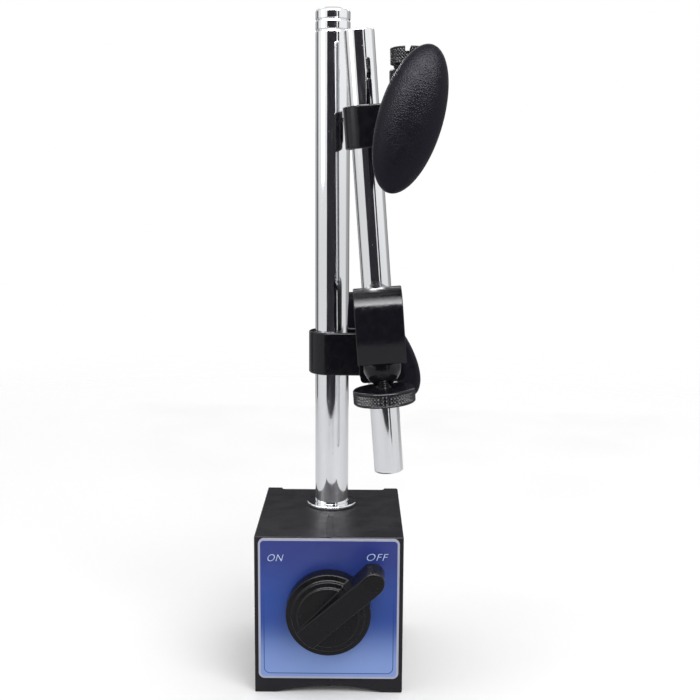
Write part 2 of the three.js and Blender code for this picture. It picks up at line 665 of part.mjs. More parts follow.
function addThumbScrew(arm) {
  const bottom = THUMB_TOP - THUMB_THICK;
  const chamfer = 0.6;
  const profile = [[0, bottom], [THUMB_R - chamfer, bottom], [THUMB_R, bottom + chamfer]];
  profile.push([THUMB_R, THUMB_TOP - chamfer], [THUMB_R - chamfer, THUMB_TOP], [THUMB_SCREW_R, THUMB_TOP]);
  profile.push([THUMB_SCREW_R, THUMB_SCREW_TIP - 1.5], [0.8, THUMB_SCREW_TIP], [0, THUMB_SCREW_TIP]);
  addNode(arm, 'thumb_screw', turned(profile).translate(0, -THUMB_Y, 0), blackOxide());
}

function addSubPost(arm) {
  const [low, high] = [-ROD_BELOW, ROD_LENGTH - ROD_BELOW];
  const edge = 0.6;
  const profile = [[0, low], [ROD_R - edge, low], [ROD_R, low + edge], [ROD_R, high - edge]];
  profile.push([ROD_R - edge, high], [0, high]);
  addNode(arm, 'sub_post', turned(profile, POST_ROUND), chromed());
}

// ---------------------------------------------------------------- indicator holder

const HOLDER_OUTER = ROD_R + RUNNING + HOLDER_STRAP_THICK;
const STEM_BODY_Y = -HOLDER_OUTER - CLEAR - STEM_BODY_R;
const HOLDER_WASHER_Y = STEM_BODY_Y - STEM_BODY_R - CLEAR;
const HOLDER_KNOB_Y = HOLDER_WASHER_Y - HOLDER_WASHER_THICK - CLEAR;

function addHolderClamp(arm) {
  const holder = addGroup(arm, 0, 0, HOLDER_Z);
  const [thick, height] = [HOLDER_STRAP_THICK, HOLDER_STRAP_HEIGHT];
  const strap = clampStrap(ROD_R, thick, height, HOLDER_BOLT_X, HOLDER_OVERHANG);
  addNode(holder, 'holder_strap', strap, blackOxide());

  const headBack = HOLDER_OUTER + CLEAR;
  const tip = -HOLDER_KNOB_Y + NUT_LENGTH - BOLT_SHORT;
  const edge = 0.5;
  const shank = [[0, -headBack - 1], [SHANK_R, -headBack - 1], [SHANK_R, tip - edge]];
  shank.push([SHANK_R - edge, tip], [0, tip]);
  const head = barAlongY(BOLT_HEAD_R, headBack, headBack + BOLT_HEAD_THICK, 6);
  const bolt = join(turnedForward(shank, SMALL_ROUND), head).translate(HOLDER_BOLT_X, 0, 0);
  addNode(holder, 'holder_bolt', bolt, blackOxide());
  const [y0, y1] = [HOLDER_WASHER_Y - HOLDER_WASHER_THICK, HOLDER_WASHER_Y];
  const washer = ringAlongY(SHANK_R + BOLT_PLAY, HOLDER_WASHER_R, y0, y1, SMALL_ROUND);
  addNode(holder, 'holder_washer', washer.translate(HOLDER_BOLT_X, 0, 0), chromed());
  return holder;
}

// Round stem holder standing in front of the strap, with a cross hole for an 8 mm indicator stem.
function addStemHolder(holder) {
  const stem = addGroup(holder, HOLDER_BOLT_X, 0, 0);
  stem.rotation.y = STEM_TURN;
  const [low, high, edge] = [STEM_BODY_BOTTOM, STEM_BODY_TOP, 0.7];
  const profile = [[0, low], [STEM_BODY_R - edge, low], [STEM_BODY_R, low + edge]];
  profile.push([STEM_BODY_R, high - edge], [STEM_BODY_R - edge, high], [0, high]);
  const body = turned(profile).translate(0, STEM_BODY_Y, 0);
  const boltHole = barAlongY(SHANK_R + BOLT_PLAY, 2 * STEM_BODY_Y, 0, SMALL_ROUND);
  const stemHole = barAlongX(STEM_HOLE_R, -THROUGH, THROUGH).translate(0, STEM_BODY_Y, STEM_HOLE_Z);
  const screwHole = roundBar(STEM_SCREW_R + RUNNING, STEM_HOLE_Z, high + 1, SMALL_ROUND);
  const cuts = [boltHole, stemHole, screwHole.translate(0, STEM_BODY_Y, 0)];
  addNode(stem, 'stem_holder', cut(body, ...cuts), blackOxide());
  addStemScrew(stem);
}

// Slotted knurled screw that bears on the indicator's stem from above.
function addStemScrew(stem) {
  const neckR = STEM_SCREW_NECK_R;
  const neck = STEM_BODY_TOP + CLEAR;
  const head = neck + 1.1;
  const top = head + STEM_SCREW_HEAD;
  const tip = STEM_HOLE_Z + STEM_HOLE_R + CLEAR;
  const edge = 0.5;
  const profile = [[0, tip], [STEM_SCREW_R, tip], [STEM_SCREW_R, neck], [neckR, neck], [neckR, head]];
  profile.push([STEM_SCREW_HEAD_R - edge, head], [STEM_SCREW_HEAD_R, head + edge]);
  profile.push([STEM_SCREW_HEAD_R, top - edge], [STEM_SCREW_HEAD_R - edge, top], [0, top]);
  const slot = block(-0.9, 0.9, -STEM_SCREW_HEAD_R - 1, STEM_SCREW_HEAD_R + 1, top - 1.5, top + 1);
  const screw = cut(turned(profile), slot).translate(0, STEM_BODY_Y, 0);
  addNode(stem, 'stem_screw', screw, blackOxide());
}

function addHolderKnob(holder) {
  const knob = addGroup(holder, HOLDER_BOLT_X, HOLDER_KNOB_Y, 0);
  addNode(knob, 'holder_knob', ovalKnob(FRONT_KNOB_TILT + ROD_TILT), blackPlastic());
  addNode(knob, 'holder_knob_nut', knobNut(), brassed());
}

// ---------------------------------------------------------------- assembly

addPoles();
addSeparators();
addLabelPlate();
addBearingCaps();
addBackCover();
addSwitchKnob(addRotor());
addMainPost();
addCrossClamp();
addCrossKnob();

const arm = addArm();
addEyeBolt(arm);
addFineSpring(arm);
addThumbScrew(arm);
addSubPost(arm);

const holder = addHolderClamp(arm);
addStemHolder(holder);
addHolderKnob(holder);

model.position.x = FOOT_X;

export default model;
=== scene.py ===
import json
import math

import bmesh
import bpy
import numpy as np
from mathutils import Matrix, Vector


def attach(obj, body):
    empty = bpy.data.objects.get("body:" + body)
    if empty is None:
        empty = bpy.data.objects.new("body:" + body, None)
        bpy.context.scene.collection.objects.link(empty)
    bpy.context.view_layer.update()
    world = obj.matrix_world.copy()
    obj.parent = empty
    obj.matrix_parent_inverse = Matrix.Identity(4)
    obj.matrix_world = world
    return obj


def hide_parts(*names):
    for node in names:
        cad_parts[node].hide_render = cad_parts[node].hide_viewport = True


# Looks for a magnetic base indicator stand. Shapes are drawn in millimetres, each in the frame of its own
# body, and become metres when a piece is made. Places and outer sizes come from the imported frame.

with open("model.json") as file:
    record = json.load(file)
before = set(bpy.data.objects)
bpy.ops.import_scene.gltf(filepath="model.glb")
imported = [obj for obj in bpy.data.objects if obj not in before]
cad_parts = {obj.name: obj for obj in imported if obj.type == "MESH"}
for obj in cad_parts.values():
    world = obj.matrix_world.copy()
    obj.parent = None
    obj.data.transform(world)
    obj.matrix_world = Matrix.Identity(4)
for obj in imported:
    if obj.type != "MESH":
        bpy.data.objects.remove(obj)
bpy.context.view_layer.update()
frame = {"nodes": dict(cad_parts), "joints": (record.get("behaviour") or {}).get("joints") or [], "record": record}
MM = 0.001
TURN = 2 * math.pi
FORWARD = Matrix.Rotation(math.pi / 2, 4, "X")  # turns a shape drawn upwards to point towards -Y
BACKWARD = Matrix.Rotation(-math.pi / 2, 4, "X")
SIDEWAYS = Matrix.Rotation(math.pi / 2, 4, "Y")  # from upwards to +X


# ---------------------------------------------------------------- places, from the frame

def joint(name):
    return next(j for j in frame["joints"] if j["name"] == name)


def place(origin, up=(0, 0, 1)):
    """A frame at origin with its Y along the row's Y and its Z along up."""
    z = Vector(up).normalized()
    y = Vector((0, 1, 0))
    matrix = Matrix((y.cross(z), y, z)).transposed().to_4x4()
    matrix.translation = origin
    return matrix


ROD_AXIS = joint("sub_post_slide")["axis"]
POST_POINT = Vector(joint("post_turn")["pos_m"])
BASE = place((POST_POINT.x, 0, 0))
POST = place((POST_POINT.x, POST_POINT.y, 0))
SWITCH = place(joint("switch_turn")["pos_m"])
BACK_KNOB = place(joint("cross_knob_turn")["pos_m"])
CLAMP = place((POST_POINT.x, POST_POINT.y, joint("arm_swivel")["pos_m"][2]))
BOLT = place(joint("arm_swivel")["pos_m"])
ARM = place(joint("arm_swivel")["pos_m"], ROD_AXIS)
HOLDER = place(joint("holder_swing")["pos_m"], ROD_AXIS)
FRONT_KNOB = place(joint("holder_knob_turn")["pos_m"])
STEM = place(joint("stem_holder_turn")["pos_m"], joint("stem_screw_turn")["axis"])


def points(node, where):
    """A CAD node's corners in a place's own axes, in millimetres."""
    inverse = where.inverted()
    return np.array([inverse @ v.co for v in frame["nodes"][node].data.vertices]) / MM


def extent(node, where):
    """Lowest and highest corner of the box round a CAD node, in the same axes."""
    found = points(node, where)
    return Vector(found.min(0)), Vector(found.max(0))


POST_R = extent("main_post", POST)[1].x
ROD_R = extent("sub_post", ARM)[1].x
RUNNING = 0.08  # between pieces that slide on each other
BOLT_HOLE_R = 3.15  # for the two 6 mm clamp bolts


# ---------------------------------------------------------------- outlines

def arc(centre, radius, start, end, steps=24):
    """Points on a circle, from start to end in degrees."""
    angles = [math.radians(start + (end - start) * i / steps) for i in range(steps + 1)]
    return [(centre[0] + radius * math.cos(a), centre[1] + radius * math.sin(a)) for a in angles]


def rounded(outline, radius, ring=False, steps=4):
    """The outline with each corner turned into an arc. An open outline keeps its two ends."""
    result = []
    count = len(outline)
    for i, corner in enumerate(outline):
        here = Vector(corner)
        if not ring and i in (0, count - 1):
            result.append(tuple(here))
            continue
        before = Vector(outline[i - 1]) - here
        after = Vector(outline[(i + 1) % count]) - here
        half = before.angle(after) / 2
        reach = min(radius / math.tan(half), 0.48 * before.length, 0.48 * after.length)
        bend = reach * math.tan(half)
        middle = (before.normalized() + after.normalized()).normalized()
        centre = here + middle * (bend / math.sin(half))
        first = here + before.normalized() * reach - centre
        last = here + after.normalized() * reach - centre
        for k in range(steps + 1):
            spoke = first.lerp(last, k / steps).normalized() * bend
            result.append(tuple(centre + spoke))
    return result


def rounded_rectangle(half_width, half_height, radius, steps=8):
    corners = [(half_width, -half_height), (half_width, half_height)]
    corners += [(-half_width, half_height), (-half_width, -half_height)]
    return rounded(corners, radius, ring=True, steps=steps)


def sampled(profile, step):
    """The same outline with no side longer than step."""
    result = [profile[0]]
    for a, b in zip(profile, profile[1:]):
        a, b = Vector(a), Vector(b)
        pieces = max(1, math.ceil((b - a).length / step))
        result += [tuple(a.lerp(b, k / pieces)) for k in range(1, pieces + 1)]
    return result


# ---------------------------------------------------------------- solids

def lathe(profile, segments=96, relief=None):
    """A turned solid about Z from (radius, height) pairs that start and end on the axis, or form a ring.
    relief(angle, radius, height) is added to the radius."""
    bm = bmesh.new()
    hoops = []
    ring = profile[0][0] > 1e-6
    for radius, height in profile[:-1] if ring and profile[0] == profile[-1] else profile:
        if radius < 1e-6:
            hoops.append([bm.verts.new((0, 0, height))])
            continue
        hoop = []
        for i in range(segments):
            angle = TURN * i / segments
            r = radius + (relief(angle, radius, height) if relief else 0)
            hoop.append(bm.verts.new((r * math.cos(angle), r * math.sin(angle), height)))
        hoops.append(hoop)
    pairs = list(zip(hoops, hoops[1:]))
    if ring:
        pairs.append((hoops[-1], hoops[0]))
    for low, high in pairs:
        for i in range(segments):
            j = (i + 1) % segments
            corners = [low[i % len(low)], low[j % len(low)], high[j % len(high)], high[i % len(high)]]
            bm.faces.new(list(dict.fromkeys(corners)))
    bmesh.ops.recalc_face_normals(bm, faces=bm.faces)
    return bm


def plate(outline, y0, y1):
    """An outline drawn in X and Z, given thickness from y0 to y1."""
    bm = bmesh.new()
    near = [bm.verts.new((x, y0, z)) for x, z in outline]
    far = [bm.verts.new((x, y1, z)) for x, z in outline]
    bm.faces.new(near)
    bm.faces.new(far[::-1])
    for i in range(len(outline)):
        j = (i + 1) % len(outline)
        bm.faces.new((near[i], far[i], far[j], near[j]))
    bmesh.ops.recalc_face_normals(bm, faces=bm.faces)
    return bm


def turned_plate(outline, z0, z1):
    """An outline drawn in X and Y, given height from z0 to z1."""
    bm = plate(outline, -z1, -z0)
    bm.transform(Matrix.Rotation(-math.pi / 2, 4, "X"))
    return bm


def block(x0, x1, y0, y1, z0, z1):
    return plate([(x0, z0), (x1, z0), (x1, z1), (x0, z1)], y0, y1)


def bar(radius, start, end, segments=64):
    return lathe([(0, start), (radius, start), (radius, end), (0, end)], segments)


def moved(bm, matrix):
    bm.transform(matrix)
    return bm


def shifted(bm, x=0, y=0, z=0):
    return moved(bm, Matrix.Translation((x, y, z)))


def scratch_object(bm):
    mesh = bpy.data.meshes.new("scratch")
    bm.to_mesh(mesh)
    bm.free()
    obj = bpy.data.objects.new("scratch", mesh)
    bpy.context.scene.collection.objects.link(obj)
    return obj


def evaluated(obj):
    """The object's mesh after its modifiers, as a bmesh. The object is removed."""
    bpy.context.view_layer.update()
    result = bmesh.new()
    result.from_object(obj, bpy.context.evaluated_depsgraph_get())
    bpy.data.objects.remove(obj)
    return result


def boolean(bm, operation, *tools):
    for tool in tools:
        target = scratch_object(bm)
        cutter = scratch_object(tool)
        modifier = target.modifiers.new("boolean", "BOOLEAN")
        modifier.operation = operation
        modifier.solver = "EXACT"
        modifier.object = cutter
        bm = evaluated(target)
        bpy.data.objects.remove(cutter)
    bmesh.ops.remove_doubles(bm, verts=bm.verts, dist=1e-4)
    flat = math.radians(0.4)
    bmesh.ops.dissolve_limit(bm, angle_limit=flat, verts=bm.verts, edges=bm.edges)
    return bm


def cut(bm, *tools):
    return boolean(bm, "DIFFERENCE", *tools)


def join(bm, *tools):
    return boolean(bm, "UNION", *tools)


def bevelled(bm, width, keep=lambda middle: True, segments=3, angle=32):
    """Rounds the edges sharper than angle degrees whose middle passes keep."""
    edges = []
    for edge in bm.edges:
        if len(edge.link_faces) != 2 or edge.calc_face_angle(0) < math.radians(angle):
            continue
        if keep((edge.verts[0].co + edge.verts[1].co) / 2):
            edges.append(edge)
    bmesh.ops.bevel(
        bm, geom=edges, offset=width, segments=segments, profile=0.5, affect="EDGES", clamp_overlap=True
    )
    return bm


def remeshed(bm, voxel, smoothing):
    """One soft-edged skin round all of bm's overlapping solids."""
    obj = scratch_object(bm)
    remesh = obj.modifiers.new("remesh", "REMESH")
    remesh.mode = "VOXEL"
    remesh.voxel_size = voxel
    smooth = obj.modifiers.new("smooth", "SMOOTH")
    smooth.factor = 0.5
    smooth.iterations = smoothing
    return evaluated(obj)


def merged(*solids):
    """All the solids in one bmesh, still overlapping."""
    first = solids[0]
    for other in solids[1:]:
        mesh = bpy.data.meshes.new("scratch")
        other.to_mesh(mesh)
        other.free()
        first.from_mesh(mesh)
    return first


def wave(phase):
    """Straight ramps from 0 at whole numbers to 1 halfway between."""
    return 1 - abs(2 * (phase % 1) - 1)


def clamp(value):
    return min(1.0, max(0.0, value))


def thread(pitch, depth, start, end):
    """Relief of a screw thread between two heights, fading out over one pitch at the end."""
    def relief(angle, radius, height):
        if not start <= height <= end:
            return 0
        flank = clamp((0.8 - wave(height / pitch - angle / TURN)) / 0.65)
        return -depth * flank * clamp((end - height) / pitch) * clamp((height - start) / 0.3)
    return relief


def knurl(teeth, depth, rim, start, end):
    """Relief of a diamond knurl on the band of radius rim between two heights."""
    period = TURN * rim / teeth

    def relief(angle, radius, height):
        if radius < rim - 0.01 or not start <= height <= end:
            return 0
        turn = teeth * angle / TURN
        diamond = min(wave(turn + height / period), wave(turn - height / period))
        fade = clamp((height - start) / 0.4) * clamp((end - height) / 0.4)
        return -depth * (1 - clamp(diamond * 1.5)) * fade
    return relief


# ---------------------------------------------------------------- finishes

class Field:
    """A number that varies over a surface: an output socket with arithmetic."""

    def __init__(self, tree, socket):
        self.tree = tree
        self.socket = socket

    def math(self, operation, *others):
        node = self.tree.nodes.new("ShaderNodeMath")
        node.operation = operation
        for slot, value in zip(node.inputs, (self, *others)):
            if isinstance(value, Field):
                self.tree.links.new(value.socket, slot)
            else:
                slot.default_value = value
        return Field(self.tree, node.outputs[0])

    def __add__(self, other):
        return self.math("ADD", other)

    def __sub__(self, other):
        return self.math("SUBTRACT", other)

    def __mul__(self, other):
        return self.math("MULTIPLY", other)

    def ramp(self, low, high, start=0.0, end=1.0):
        """Smoothly from start at low to end at high, level beyond them."""
        node = self.tree.nodes.new("ShaderNodeMapRange")
        node.interpolation_type = "SMOOTHSTEP"
        self.tree.links.new(self.socket, node.inputs["Value"])
        for name, value in zip(("From Min", "From Max", "To Min", "To Max"), (low, high, start, end)):
            node.inputs[name].default_value = value
        return Field(self.tree, node.outputs["Result"])


class Finish:
    """A procedural material. Lengths are millimetres in the piece's own frame."""

    def __init__(self, name, color, roughness, metallic=0.0, **extra):
        self.material = bpy.data.materials.new(name)
        self.material.use_nodes = True
        self.tree = self.material.node_tree
        self.shader = self.tree.nodes["Principled BSDF"]
        self.normal = None
        extra.update(Base_Color=(*color, 1), Roughness=roughness, Metallic=metallic)
        for key, value in extra.items():
            self.shader.inputs[key.replace("_", " ")].default_value = value
        where = self.tree.nodes.new("ShaderNodeTexCoord")
        scale = self.tree.nodes.new("ShaderNodeVectorMath")
        scale.operation = "SCALE"
        scale.inputs["Scale"].default_value = 1 / MM
        self.tree.links.new(where.outputs["Object"], scale.inputs[0])
        self.position = scale.outputs[0]

    def axis(self, index):
        node = self.tree.nodes.new("ShaderNodeSeparateXYZ")
        self.tree.links.new(self.position, node.inputs[0])
        return Field(self.tree, node.outputs[index])

    def stretched(self, size):
        """The position divided by a size, one number or one for each axis."""
        sizes = size if isinstance(size, tuple) else (size,) * 3
        node = self.tree.nodes.new("ShaderNodeVectorMath")
        node.operation = "DIVIDE"
        self.tree.links.new(self.position, node.inputs[0])
        node.inputs[1].default_value = sizes
        return node.outputs[0]

    def noise(self, size, detail=3.0):
        node = self.tree.nodes.new("ShaderNodeTexNoise")
        node.inputs["Scale"].default_value = 1.0
        node.inputs["Detail"].default_value = detail
        node.inputs["Roughness"].default_value = 0.55
        self.tree.links.new(self.stretched(size), node.inputs["Vector"])
        return Field(self.tree, node.outputs["Fac"])

    def cells(self, size):
        """Distance to the nearest of scattered points, about size apart."""
        node = self.tree.nodes.new("ShaderNodeTexVoronoi")
        node.inputs["Scale"].default_value = 1.0
        self.tree.links.new(self.stretched(size), node.inputs["Vector"])
        return Field(self.tree, node.outputs["Distance"])

    def edges(self, radius):
        """Near 1 on the piece's sharp edges, 0 on its flat and gently curved faces."""
        soft = self.tree.nodes.new("ShaderNodeBevel")
        soft.samples = 4
        soft.inputs["Radius"].default_value = radius * MM
        true = self.tree.nodes.new("ShaderNodeNewGeometry")
        dot = self.tree.nodes.new("ShaderNodeVectorMath")
        dot.operation = "DOT_PRODUCT"
        self.tree.links.new(soft.outputs[0], dot.inputs[0])
        self.tree.links.new(true.outputs["Normal"], dot.inputs[1])
        return Field(self.tree, dot.outputs["Value"]).ramp(0.99, 0.9)

    def drive(self, name, field):
        self.tree.links.new(field.socket, self.shader.inputs[name])

    def blend(self, field, color):
        """Mixes another colour over the present one where field is 1."""
        target = self.shader.inputs["Base Color"]
        node = self.tree.nodes.new("ShaderNodeMix")
        node.data_type = "RGBA"
        factor, a, b = node.inputs[0], node.inputs[6], node.inputs[7]
        self.tree.links.new(field.socket, factor)
        if target.links:
            self.tree.links.new(target.links[0].from_socket, a)
        else:
            a.default_value = target.default_value
        b.default_value = (*color, 1)
        self.tree.links.new(node.outputs[2], target)

    def bump(self, field, depth):
        """Raises the surface by depth where field is 1."""
        node = self.tree.nodes.new("ShaderNodeBump")
        node.inputs["Distance"].default_value = depth * MM
        self.tree.links.new(field.socket, node.inputs["Height"])
        if self.normal:
            self.tree.links.new(self.normal, node.inputs["Normal"])
        self.normal = node.outputs[0]
        self.tree.links.new(self.normal, self.shader.inputs["Normal"])


def painted_iron():
    f = Finish("painted_iron", (0.0115, 0.011, 0.0145), 0.42, Specular_IOR_Level=0.22)
    lighter_edge_patches = f.edges(0.3) * f.noise(1.6).ramp(0.56, 0.7)
    f.blend(lighter_edge_patches * 0.5, (0.13, 0.125, 0.12))
    ground = f.axis(2).math("LESS_THAN", 0.15)
    f.blend(ground, (0.42, 0.42, 0.43))
    f.drive("Metallic", ground)
    f.drive("Roughness", f.noise(7.0).ramp(0.3, 0.7, 0.38, 0.5) - ground * 0.12)
    f.bump(f.noise(0.9, 2.0), 0.012)
    f.bump(f.noise(0.25, 2.0), 0.004)
    return f.material


def chrome():
    f = Finish("chrome", (0.84, 0.85, 0.87), 0.07, 1.0)
    haze = f.noise((1.2, 1.2, 14.0), 4.0).ramp(0.45, 0.75)
    spots = f.cells(1.9).ramp(0.16, 0.05) * f.noise(6.0).ramp(0.5, 0.62)
    f.drive("Roughness", haze * 0.09 + spots * 0.25 + 0.055)
    f.blend(spots * 0.5, (0.52, 0.52, 0.52))
    f.bump(f.noise((2.5, 2.5, 9.0), 3.0), 0.006)
    f.bump(f.noise(0.5, 2.0), 0.0012)
    return f.material


def black_steel():
    f = Finish("black_steel", (0.0062, 0.0056, 0.0085), 0.18, Specular_IOR_Level=0.28)
    # Lighter patches on the sharp edges: partly worn paint, partly a painted highlight where the edges catch the
    # light.
    lighter_edge_patches = f.edges(0.2) * f.noise(1.1).ramp(0.55, 0.7)
    f.blend(lighter_edge_patches * 0.35, (0.14, 0.13, 0.12))
    f.drive("Roughness", f.noise(2.0, 3.0).ramp(0.35, 0.7, 0.13, 0.24))
    f.bump(f.noise(2.4, 2.0), 0.02)
    f.bump(f.noise(0.7, 4.0), 0.03)
    return f.material


def black_plastic():
    f = Finish("black_plastic", (0.0085, 0.0078, 0.013), 0.34, Specular_IOR_Level=0.08)
    f.drive("Roughness", f.noise(3.0).ramp(0.3, 0.7, 0.26, 0.38))
    f.bump(f.cells(0.5).ramp(0.05, 0.75, 1.0, 0.0), 0.055)
    f.bump(f.noise(0.3, 3.0), 0.03)
    return f.material


def moulded_plastic():
    f = Finish("moulded_plastic", (0.0042, 0.004, 0.0052), 0.3, Specular_IOR_Level=0.2)
    f.drive("Roughness", f.noise(2.5).ramp(0.3, 0.7, 0.26, 0.36))
    f.bump(f.noise(0.5, 3.0), 0.008)
    return f.material


def brass():
    f = Finish("brass", (0.62, 0.47, 0.22), 0.34, 1.0)
    f.blend(f.noise(3.0).ramp(0.45, 0.8), (0.42, 0.30, 0.14))
    f.drive("Roughness", f.noise(1.5).ramp(0.3, 0.7, 0.26, 0.42))
    f.bump(f.noise((0.15, 4.0, 0.15), 2.0), 0.006)
    return f.material


def aluminium():
    f = Finish("aluminium", (0.66, 0.67, 0.69), 0.38, 1.0)
    f.drive("Roughness", f.noise((0.2, 0.2, 8.0), 3.0).ramp(0.3, 0.7, 0.3, 0.46))
    f.bump(f.noise((0.12, 0.12, 6.0), 3.0), 0.006)
    return f.material


def bare_iron():
    f = Finish("bare_iron", (0.33, 0.33, 0.34), 0.42, 1.0)
    f.blend(f.noise(4.0).ramp(0.5, 0.85), (0.2, 0.17, 0.15))
    f.drive("Roughness", f.noise(1.2).ramp(0.3, 0.7, 0.34, 0.52))
    f.bump(f.noise((0.3, 3.0, 0.3), 2.0), 0.008)
    return f.material


def magnet():
    f = Finish("magnet", (0.36, 0.365, 0.38), 0.55, 1.0)
    f.blend(f.cells(2.4).ramp(0.2, 0.6), (0.25, 0.25, 0.26))
    f.bump(f.noise(0.8, 4.0), 0.05)
    return f.material


def print_white():
    f = Finish("print_white", (0.56, 0.66, 0.84), 0.4)
    f.drive("Roughness", f.noise(0.5).ramp(0.3, 0.7, 0.34, 0.46))
    f.bump(f.noise(0.2, 2.0), 0.003)
    return f.material


LABEL_CORNER = 2.0
LABEL_RIM = 0.75  # bare silver border
LABEL_LINE = 1.9  # from the edge to the middle of a thin dark frame line
LABEL_LINE_HALF = 0.13
LABEL_HOLE_R = 12.3


def printed_plate(half_width, half_height):
    """Blue print that pales downwards, inside a silver border. The plate's own frame is at its centre."""
    gloss = {"Specular_IOR_Level": 0.3, "Coat_Weight": 0.12, "Coat_Roughness": 0.2}
    f = Finish("printed_plate", (0.022, 0.036, 0.2), 0.34, **gloss)
    height = f.axis(2)

    def edge_distance(inset, corner):
        """Negative inside a rounded rectangle that lies inset from the plate's edge."""
        x = f.axis(0).math("ABSOLUTE") - (half_width - inset - corner)
        z = f.axis(2).math("ABSOLUTE") - (half_height - inset - corner)
        out_x, out_z = x.math("MAXIMUM", 0.0), z.math("MAXIMUM", 0.0)
        outside = (out_x * out_x + out_z * out_z).math("SQRT")
        return outside + x.math("MAXIMUM", z).math("MINIMUM", 0.0) - corner

    f.blend(height.ramp(half_height * 0.9, half_height * 0.1), (0.014, 0.055, 0.28))
    f.blend(height.ramp(-half_height * 0.1, -half_height * 0.85), (0.185, 0.28, 0.57))
    f.blend(f.noise((20.0, 20.0, 9.0), 2.0).ramp(0.4, 0.75) * 0.1, (0.09, 0.12, 0.42))
    line = edge_distance(LABEL_LINE, LABEL_CORNER).math("ABSOLUTE").math("LESS_THAN", LABEL_LINE_HALF)
    f.blend(line * height.ramp(half_height * 0.5, -half_height * 0.2, 0.0, 0.9), (0.012, 0.025, 0.16))
    edge = edge_distance(0.0, LABEL_CORNER)
    rim = edge.math("GREATER_THAN", -LABEL_RIM)
    f.blend(rim, (0.36, 0.37, 0.46))
    f.drive("Roughness", rim * -0.08 + 0.34)
    f.bump(f.noise(0.6, 3.0), 0.003)
    f.bump(edge.ramp(-LABEL_RIM - 0.1, -LABEL_RIM + 0.1), 0.03)
    return f.material


LABEL_LOW, LABEL_HIGH = extent("label_plate", BASE)
FINISHES = {
    "painted_iron": painted_iron(),
    "chrome": chrome(),
    "black_steel": black_steel(),
    "black_plastic": black_plastic(),
    "brass": brass(),
    "aluminium": aluminium(),
    "bare_iron": bare_iron(),
    "magnet": magnet(),
    "printed_plate": printed_plate((LABEL_HIGH.x - LABEL_LOW.x) / 2, (LABEL_HIGH.z - LABEL_LOW.z) / 2),
}


# ---------------------------------------------------------------- pieces

def piece(name, bm, where, body, slot, nodes=(), finish=None, crease=35):
    """Makes the object in metres, gives it its finish and body, and hides the CAD nodes it stands for."""
    bmesh.ops.recalc_face_normals(bm, faces=bm.faces)
    bm.transform(Matrix.Scale(MM, 4))
    mesh = bpy.data.meshes.new(name)
    bm.to_mesh(mesh)
    bm.free()
    mesh.materials.append(finish or FINISHES[slot])
    mesh.shade_smooth()
    mesh.set_sharp_from_angle(angle=math.radians(crease))
    obj = bpy.data.objects.new(name, mesh)
    bpy.context.scene.collection.objects.link(obj)
    obj.matrix_world = where
    weighted = obj.modifiers.new("weighted_normals", "WEIGHTED_NORMAL")
    weighted.keep_sharp = True
    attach(obj, body)
    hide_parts(*nodes)
    return obj


# ---- magnetic base

ARCH_HALF_WIDTH = 18.3
ARCH_HEIGHT = 2.4
SEAM = 1.7
EDGE_ROUND = 0.55
BACK_PAD_WIDTH = 5.5
BACK_RECESS = 2.0
BORE_R = 16.2
BORE_LIP = 3.5  # no rounding this close to the bore at the front, where the label covers it
COVER_SCREW_R = 1.5
STRIP_SUNK = 0.03  # below the top, so that the seam shows


def base_outline(half, top):
    radius = (ARCH_HALF_WIDTH ** 2 + ARCH_HEIGHT ** 2) / (2 * ARCH_HEIGHT)
    swing = math.degrees(math.asin(ARCH_HALF_WIDTH / radius))
    outline = [(half, 0), (half, top), (-half, top), (-half, 0)]
    return outline + arc((0, ARCH_HEIGHT - radius), radius, 90 + swing, 90 - swing, 40)


def build_base():
    low, high = extent("pole_left", BASE)
    half, top, front, back = -low.x, high.z, low.y, high.y
    axis_z = SWITCH.translation.z / MM
    post_y = POST.translation.y / MM
    stud_r = extent("post_stud", POST)[1].x
    block_body = plate(base_outline(half, top), front, back)
    recess, floor = half - BACK_PAD_WIDTH, back - BACK_RECESS
    channel = rounded([(-recess, back + 5), (-recess, floor), (recess, floor), (recess, back + 5)], 1.2)
    recess_tool = turned_plate(channel, -1, top + 1)
    bore = shifted(moved(bar(BORE_R, -back - 1, -front + 1, 96), FORWARD), z=axis_z)
    stud = shifted(bar(stud_r, axis_z, top + 1), y=post_y)
    tools = [recess_tool, bore, stud]
    for node in ("cover_screw_1", "cover_screw_2"):
        screw_low, screw_high = extent(node, BASE)
        centre = (screw_low + screw_high) / 2
        hole = moved(bar(COVER_SCREW_R, -back - 1, -screw_low.y, 24), FORWARD)
        tools.append(shifted(hole, x=centre.x, z=centre.z))
    whole = cut(block_body, *tools)

    def outer(middle):
        in_seam = abs(middle.x) < SEAM / 2 + 0.01
        in_bore = math.hypot(middle.x, middle.z - axis_z) < BORE_R + BORE_LIP
        in_stud = math.hypot(middle.x, middle.y - post_y) < stud_r + 0.5
        return not (in_seam or in_stud or (in_bore and middle.y > front - 1 and middle.z < top - 2))

    for side, name, node in ((-1, "left_pole", "pole_left"), (1, "right_pole", "pole_right")):
        inner, far = side * SEAM / 2, side * half * 2
        slab = block(min(inner, far), max(inner, far), front - 9, back + 9, -9, top + 9)
        pole = boolean(whole.copy(), "INTERSECT", slab)
        piece(name, bevelled(pole, EDGE_ROUND, outer), BASE, "base", "painted_iron", [node])
    whole.free()

    strip = SEAM / 2
    for name in ("separator_top_front", "separator_top_rear", "separator_bottom"):
        a, b = extent(name, BASE)
        lower, upper = (ARCH_HEIGHT + 0.05, b.z) if name == "separator_bottom" else (a.z, top - STRIP_SUNK)
        bm = bevelled(block(-strip, strip, a.y - 0.05, b.y, lower, upper), 0.04, segments=1)
        piece(name.replace("separator", "strip"), bm, BASE, "base", "painted_iron", [name])


